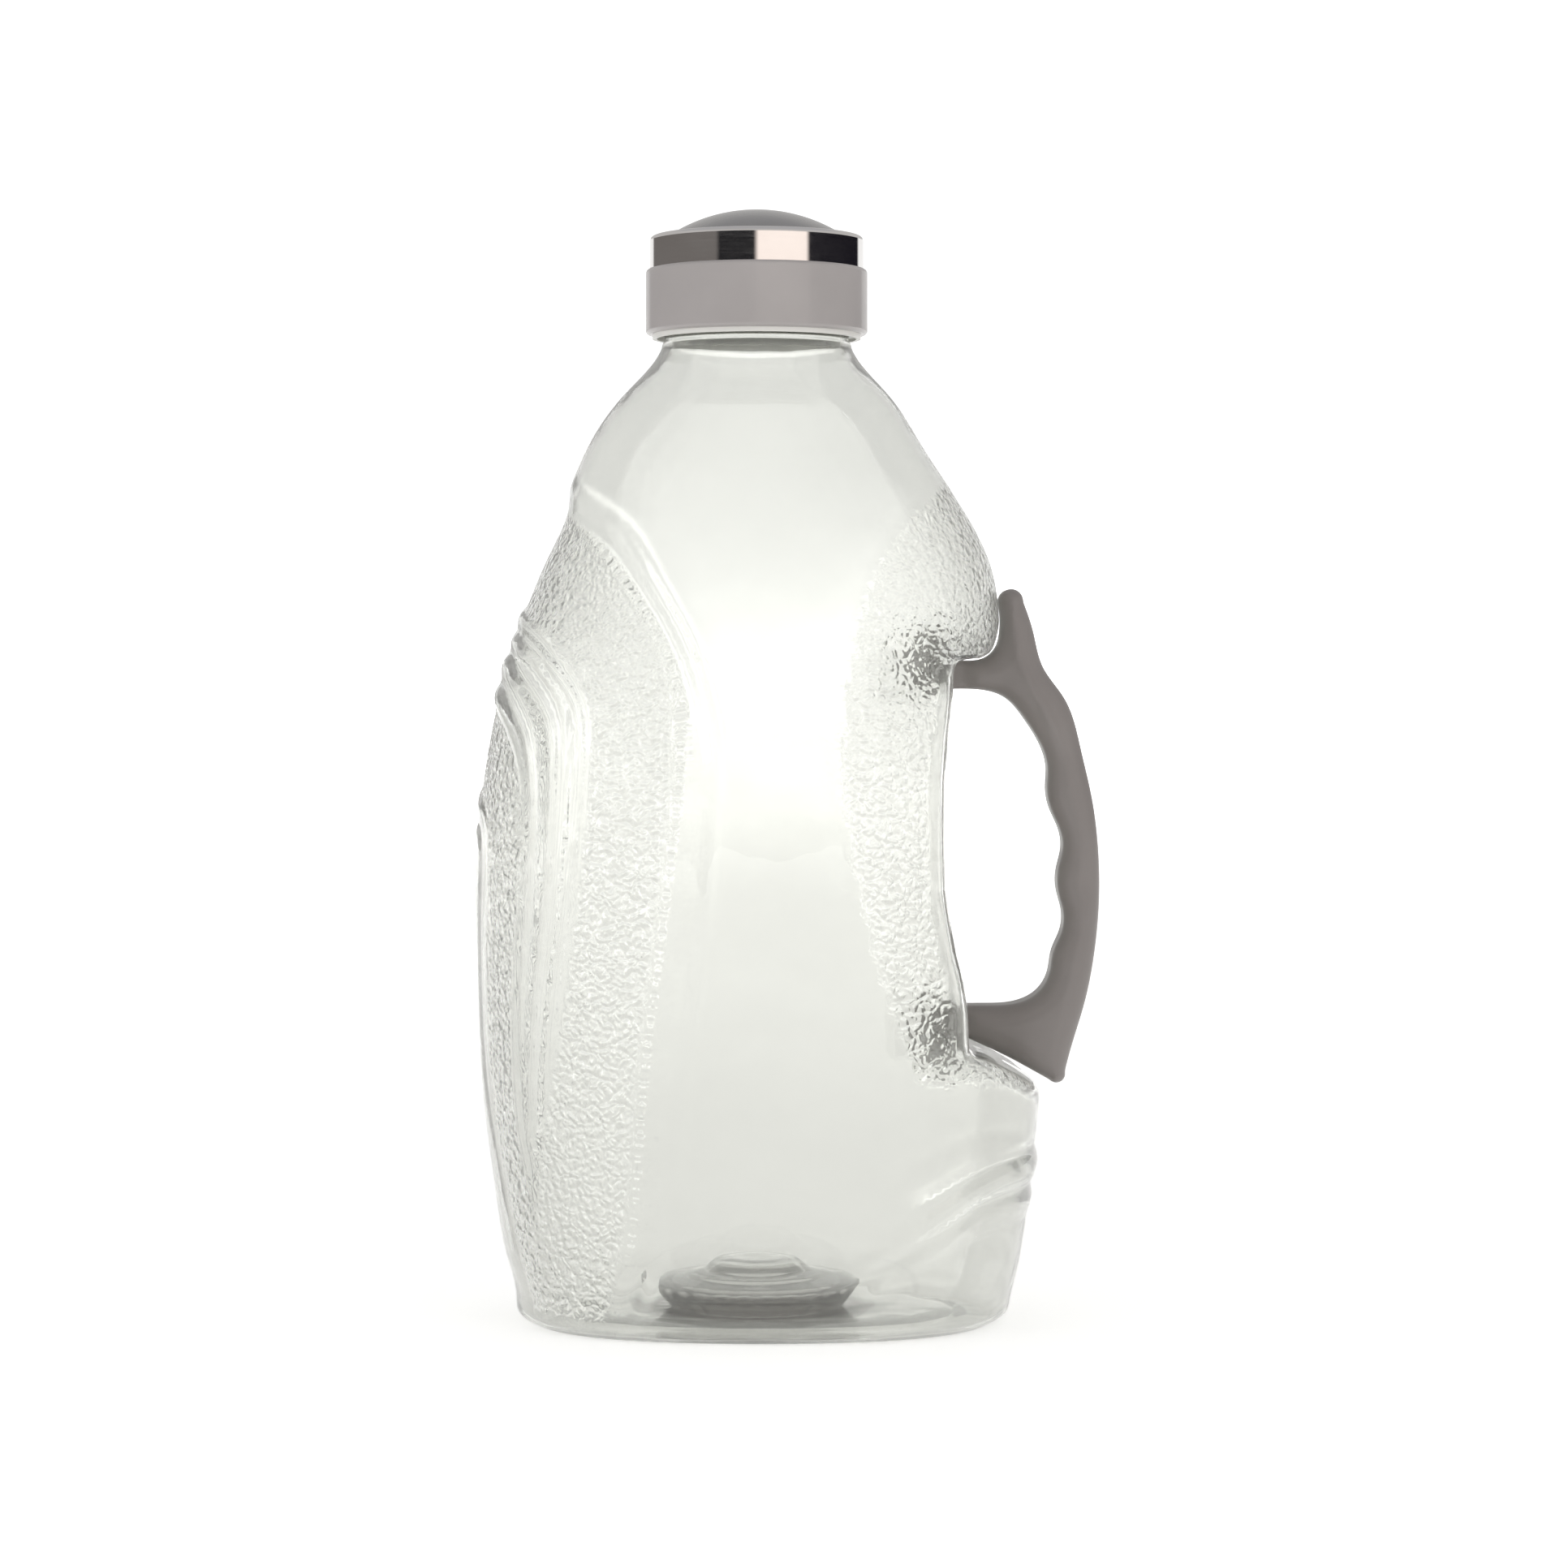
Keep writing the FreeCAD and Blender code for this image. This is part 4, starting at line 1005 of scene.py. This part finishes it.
def foam():
    """Closed-cell foam: small round cells with a soft surface."""
    material, nodes, links, shader, _ = new_material("seal_foam")
    where = nodes.new("ShaderNodeTexCoord")
    cells = add_node(nodes, "ShaderNodeTexVoronoi", {"Scale": 2600.0})
    links.new(where.outputs["Object"], cells.inputs["Vector"])
    links.new(tinted(nodes, links, cells.outputs["Distance"], (0.62, 0.61, 0.58), (0.8, 0.79, 0.76)),
              shader.inputs["Base Color"])
    shader.inputs["Roughness"].default_value = 0.85
    links.new(add_bump(nodes, links, cells.outputs["Distance"], 0.6, 0.0002), shader.inputs["Normal"])
    return material


# ---------------------------------------------------------------- stage, light and camera

# Metres: the camera's distance and level, the middle of its picture and its width at the jug.
CAMERA_AWAY = 1.10
HORIZON = 0.1767
FRAME_CENTRE_X = 0.0074
FRAME_CENTRE_Z = 0.1445
FRAME_WIDTH = 0.425
SENSOR = 36.0

FLOOR_RADII = [0.0, 0.1, 0.2, 0.35, 0.6, 1.0, 1.8, 3.5, 9.0]
FLOOR_LEVEL = -0.0002
FLOOR_SIDES = 96
# Glow of the floor by distance from the jug in metres, and of the backdrop by the rise of
# the sight line, so that the two meet in one bright band behind the jug's middle.
FLOOR_GLOW = [(0.1, 0.50), (0.3, 0.49), (0.75, 0.61), (1.2, 0.73), (2.0, 0.75), (3.7, 1.10), (8.0, 1.3)]
BACKDROP_GLOW = [(0.0, 1.95), (0.006, 1.85), (0.024, 1.50), (0.04, 1.33), (0.055, 1.23), (0.2, 1.2)]


def value_steps(nodes, links, source, stops):
    """A value that runs through the given stops, as a ramp of greys scaled up to the largest."""
    span = stops[-1][0]
    peak = max(level for _, level in stops)
    share = add_node(nodes, "ShaderNodeMath", {1: span}, operation="DIVIDE")
    links.new(source, share.inputs[0])
    greys = [(place / span, (level / peak,) * 3) for place, level in stops]
    grey = colour_ramp(nodes, links, share.outputs["Value"], greys)
    scaled = add_node(nodes, "ShaderNodeMath", {1: peak}, operation="MULTIPLY")
    links.new(grey, scaled.inputs[0])
    return scaled.outputs["Value"]


def make_floor():
    """A wide pale floor whose glow grows with distance, so that it meets the backdrop unseen."""
    count = FLOOR_SIDES
    points = [(0.0, 0.0, FLOOR_LEVEL)]
    faces = []
    for index, radius in enumerate(FLOOR_RADII[1:]):
        start = 1 + index * count
        for i in range(count):
            angle = 2 * math.pi * i / count
            points.append((radius * math.cos(angle), radius * math.sin(angle), FLOOR_LEVEL))
            after = (i + 1) % count
            if index == 0:
                faces.append((0, start + i, start + after))
            else:
                faces.append((start - count + i, start + i, start + after, start - count + after))
    floor = new_mesh_object("floor", np.array(points), faces)
    material, nodes, links, shader, _ = new_material("pale_floor")
    speckle = object_noise(nodes, links, 220.0, 3.0)
    links.new(tinted(nodes, links, speckle.outputs["Fac"], (0.86, 0.86, 0.85), (0.9, 0.9, 0.89)),
              shader.inputs["Base Color"])
    shader.inputs["Roughness"].default_value = 0.9
    shader.inputs["Specular IOR Level"].default_value = 0.1
    where = nodes.new("ShaderNodeTexCoord")
    length = add_node(nodes, "ShaderNodeVectorMath", operation="LENGTH")
    links.new(where.outputs["Object"], length.inputs[0])
    glow = value_steps(nodes, links, length.outputs["Value"], FLOOR_GLOW)
    shader.inputs["Emission Color"].default_value = (1.0, 1.0, 0.985, 1)
    links.new(glow, shader.inputs["Emission Strength"])
    floor.data.materials.append(material)
    return floor


# Bearings of the room as the trim reflects it, about the camera's side of the jug and
# growing towards the handle: bearing in degrees, colour up to the next one.
ROOM = [
    (-180, (1.0, 1.0, 0.99)),
    (-148, (0.17, 0.158, 0.15)),
    (-42, (0.012, 0.012, 0.014)),
    (0, (1.2, 1.08, 1.0)),
    (57, (0.010, 0.009, 0.013)),
    (142, (1.0, 1.0, 0.99)),
]


# Rise of the sight lines between which the room's dark panels hang, and their soft edge.
PANEL_RISE = (0.056, 0.135)
PANEL_EDGE = 0.012
# Soft edge at the panels' sides, as a share of the full turn.
PANEL_SIDE_EDGE = 0.006
OPEN_ROOM = (0.55, 0.54, 0.53, 1)
CEILING = (0.45, 0.45, 0.46, 1)
CEILING_RISE = (0.55, 0.75)


def smooth_range(nodes, links, source, low, high):
    """A smooth rise from 0 to 1 as the source goes from low to high."""
    ramp = add_node(nodes, "ShaderNodeMapRange",
                    {"From Min": low, "From Max": high}, interpolation_type="SMOOTHSTEP")
    links.new(source, ramp.inputs["Value"])
    return ramp.outputs["Result"]


def room_window(nodes, links, rise):
    """1 where a reflected sight line meets the room's panels, 0 above and below them."""
    above = smooth_range(nodes, links, rise, PANEL_RISE[0] - PANEL_EDGE, PANEL_RISE[0])
    below = smooth_range(nodes, links, rise, PANEL_RISE[1] + PANEL_EDGE, PANEL_RISE[1])
    both = add_node(nodes, "ShaderNodeMath", operation="MULTIPLY")
    links.new(above, both.inputs[0])
    links.new(below, both.inputs[1])
    return both.outputs["Value"]


def make_world():
    """A white backdrop all round, and the room with dark panels that glossy surfaces reflect."""
    world = bpy.data.worlds.new("studio")
    bpy.context.scene.world = world
    world.use_nodes = True
    nodes = world.node_tree.nodes
    links = world.node_tree.links
    nodes.clear()
    output = nodes.new("ShaderNodeOutputWorld")
    where = nodes.new("ShaderNodeTexCoord")
    split = nodes.new("ShaderNodeSeparateXYZ")
    links.new(where.outputs["Generated"], split.inputs["Vector"])
    toward_camera = add_node(nodes, "ShaderNodeMath", {1: -1.0}, operation="MULTIPLY")
    links.new(split.outputs["Y"], toward_camera.inputs[0])
    bearing = add_node(nodes, "ShaderNodeMath", operation="ARCTAN2")
    links.new(split.outputs["X"], bearing.inputs[0])
    links.new(toward_camera.outputs["Value"], bearing.inputs[1])
    share = add_node(nodes, "ShaderNodeMapRange", {"From Min": -math.pi, "From Max": math.pi})
    links.new(bearing.outputs["Value"], share.inputs["Value"])
    stops = [(0.0, ROOM[0][1])]
    for (_, before), (start, colour) in zip(ROOM[:-1], ROOM[1:]):
        position = (start + 180.0) / 360.0
        stops += [(position - PANEL_SIDE_EDGE, before), (position + PANEL_SIDE_EDGE, colour)]
    panels = colour_ramp(nodes, links, share.outputs["Result"], stops + [(1.0, ROOM[-1][1])])
    ceiling = smooth_range(nodes, links, split.outputs["Z"], *CEILING_RISE)
    room = add_node(nodes, "ShaderNodeMixRGB", {"Color2": CEILING})
    links.new(ceiling, room.inputs["Fac"])
    open_room = add_node(nodes, "ShaderNodeMixRGB", {"Color1": OPEN_ROOM})
    links.new(panels, open_room.inputs["Color2"])
    links.new(open_room.outputs["Color"], room.inputs["Color1"])
    links.new(room_window(nodes, links, split.outputs["Z"]), open_room.inputs["Fac"])
    glow = value_steps(nodes, links, split.outputs["Z"], BACKDROP_GLOW)
    path = nodes.new("ShaderNodeLightPath")
    seen = add_node(nodes, "ShaderNodeMath", operation="MAXIMUM")
    links.new(path.outputs["Is Camera Ray"], seen.inputs[0])
    links.new(path.outputs["Is Transmission Ray"], seen.inputs[1])
    chosen = nodes.new("ShaderNodeMixRGB")
    links.new(seen.outputs["Value"], chosen.inputs["Fac"])
    links.new(room.outputs["Color"], chosen.inputs["Color1"])
    links.new(glow, chosen.inputs["Color2"])
    background = nodes.new("ShaderNodeBackground")
    links.new(chosen.outputs["Color"], background.inputs["Color"])
    links.new(background.outputs["Background"], output.inputs["Surface"])


# name, place, aim, width and height, power, colour
LAMPS = [
    ("key_right", (0.9, -1.1, 1.0), (0.0, 0.0, 0.15), (0.9, 0.9), 2.5, (1.0, 0.98, 0.95)),
    ("fill_left", (-1.2, -0.8, 0.6), (0.0, 0.0, 0.15), (0.9, 1.2), 3.0, (0.97, 0.98, 1.0)),
    ("top", (0.0, 0.1, 1.5), (0.0, 0.0, 0.2), (1.4, 1.4), 2.5, (1.0, 1.0, 1.0)),
]


def add_softbox(name, place, aim, size, power, colour):
    """A large soft lamp that lights surfaces without showing in reflections."""
    data = bpy.data.lights.new(name, "AREA")
    data.shape = "RECTANGLE"
    data.size = size[0]
    data.size_y = size[1]
    data.energy = power
    data.color = colour
    lamp = bpy.data.objects.new(name, data)
    bpy.context.scene.collection.objects.link(lamp)
    from_point = np.array(place)
    towards = np.array(aim) - from_point
    lamp.location = place
    lamp.rotation_mode = "QUATERNION"
    lamp.rotation_quaternion = Vector(towards).to_track_quat("-Z", "Y")
    lamp.visible_glossy = False
    lamp.visible_camera = False
    lamp.visible_transmission = False
    return lamp


def make_camera():
    data = bpy.data.cameras.new("camera")
    camera = bpy.data.objects.new("camera", data)
    bpy.context.scene.collection.objects.link(camera)
    data.sensor_width = SENSOR
    data.lens = SENSOR * CAMERA_AWAY / FRAME_WIDTH
    data.shift_y = -(HORIZON - FRAME_CENTRE_Z) / FRAME_WIDTH
    data.clip_start = 0.05
    data.clip_end = 50.0
    camera.location = (AXIS_X + FRAME_CENTRE_X, AXIS_Y - CAMERA_AWAY, FOOT_LEVEL + HORIZON)
    camera.rotation_euler = (math.radians(90), 0.0, 0.0)
    bpy.context.scene.camera = camera
    return camera


# ---------------------------------------------------------------- assembly

HANDLE_TONES = ((0.222, 0.201, 0.193), (0.246, 0.224, 0.215))
CAP_TONES = ((0.365, 0.341, 0.337), (0.39, 0.364, 0.36))
LINER_TONES = ((0.74, 0.73, 0.70), (0.80, 0.79, 0.76))
DOME_TONES = ((0.195, 0.19, 0.19), (0.22, 0.215, 0.215))


def finish_piece(piece, material):
    """Give a piece its one material."""
    piece.data.materials.clear()
    piece.data.materials.append(material)


bottle = add_lug_pockets(make_bottle())
finish_piece(bottle, clear_pet())
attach(bottle, "jug")
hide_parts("bottle")

handle = make_handle()
finish_piece(handle, moulded_plastic(*HANDLE_TONES, 0.36, 900.0, 0.12))
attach(handle, "jug")
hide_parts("handle")

finish_piece(cad["cap_shell"], moulded_plastic(*CAP_TONES, 0.32, 1100.0, 0.08, 0.3))
finish_piece(cad["cap_liner"], moulded_plastic(*LINER_TONES, 0.35, 900.0, 0.1))
finish_piece(cad["cap_seal"], foam())
finish_piece(cad["trim_ring"], polished_trim())
finish_piece(cad["dome_insert"], moulded_plastic(*DOME_TONES, 0.16, 700.0, 0.05, 0.6))

make_floor()
make_world()
for lamp in LAMPS:
    add_softbox(*lamp)
make_camera()
bpy.context.scene.view_settings.view_transform = "Standard"
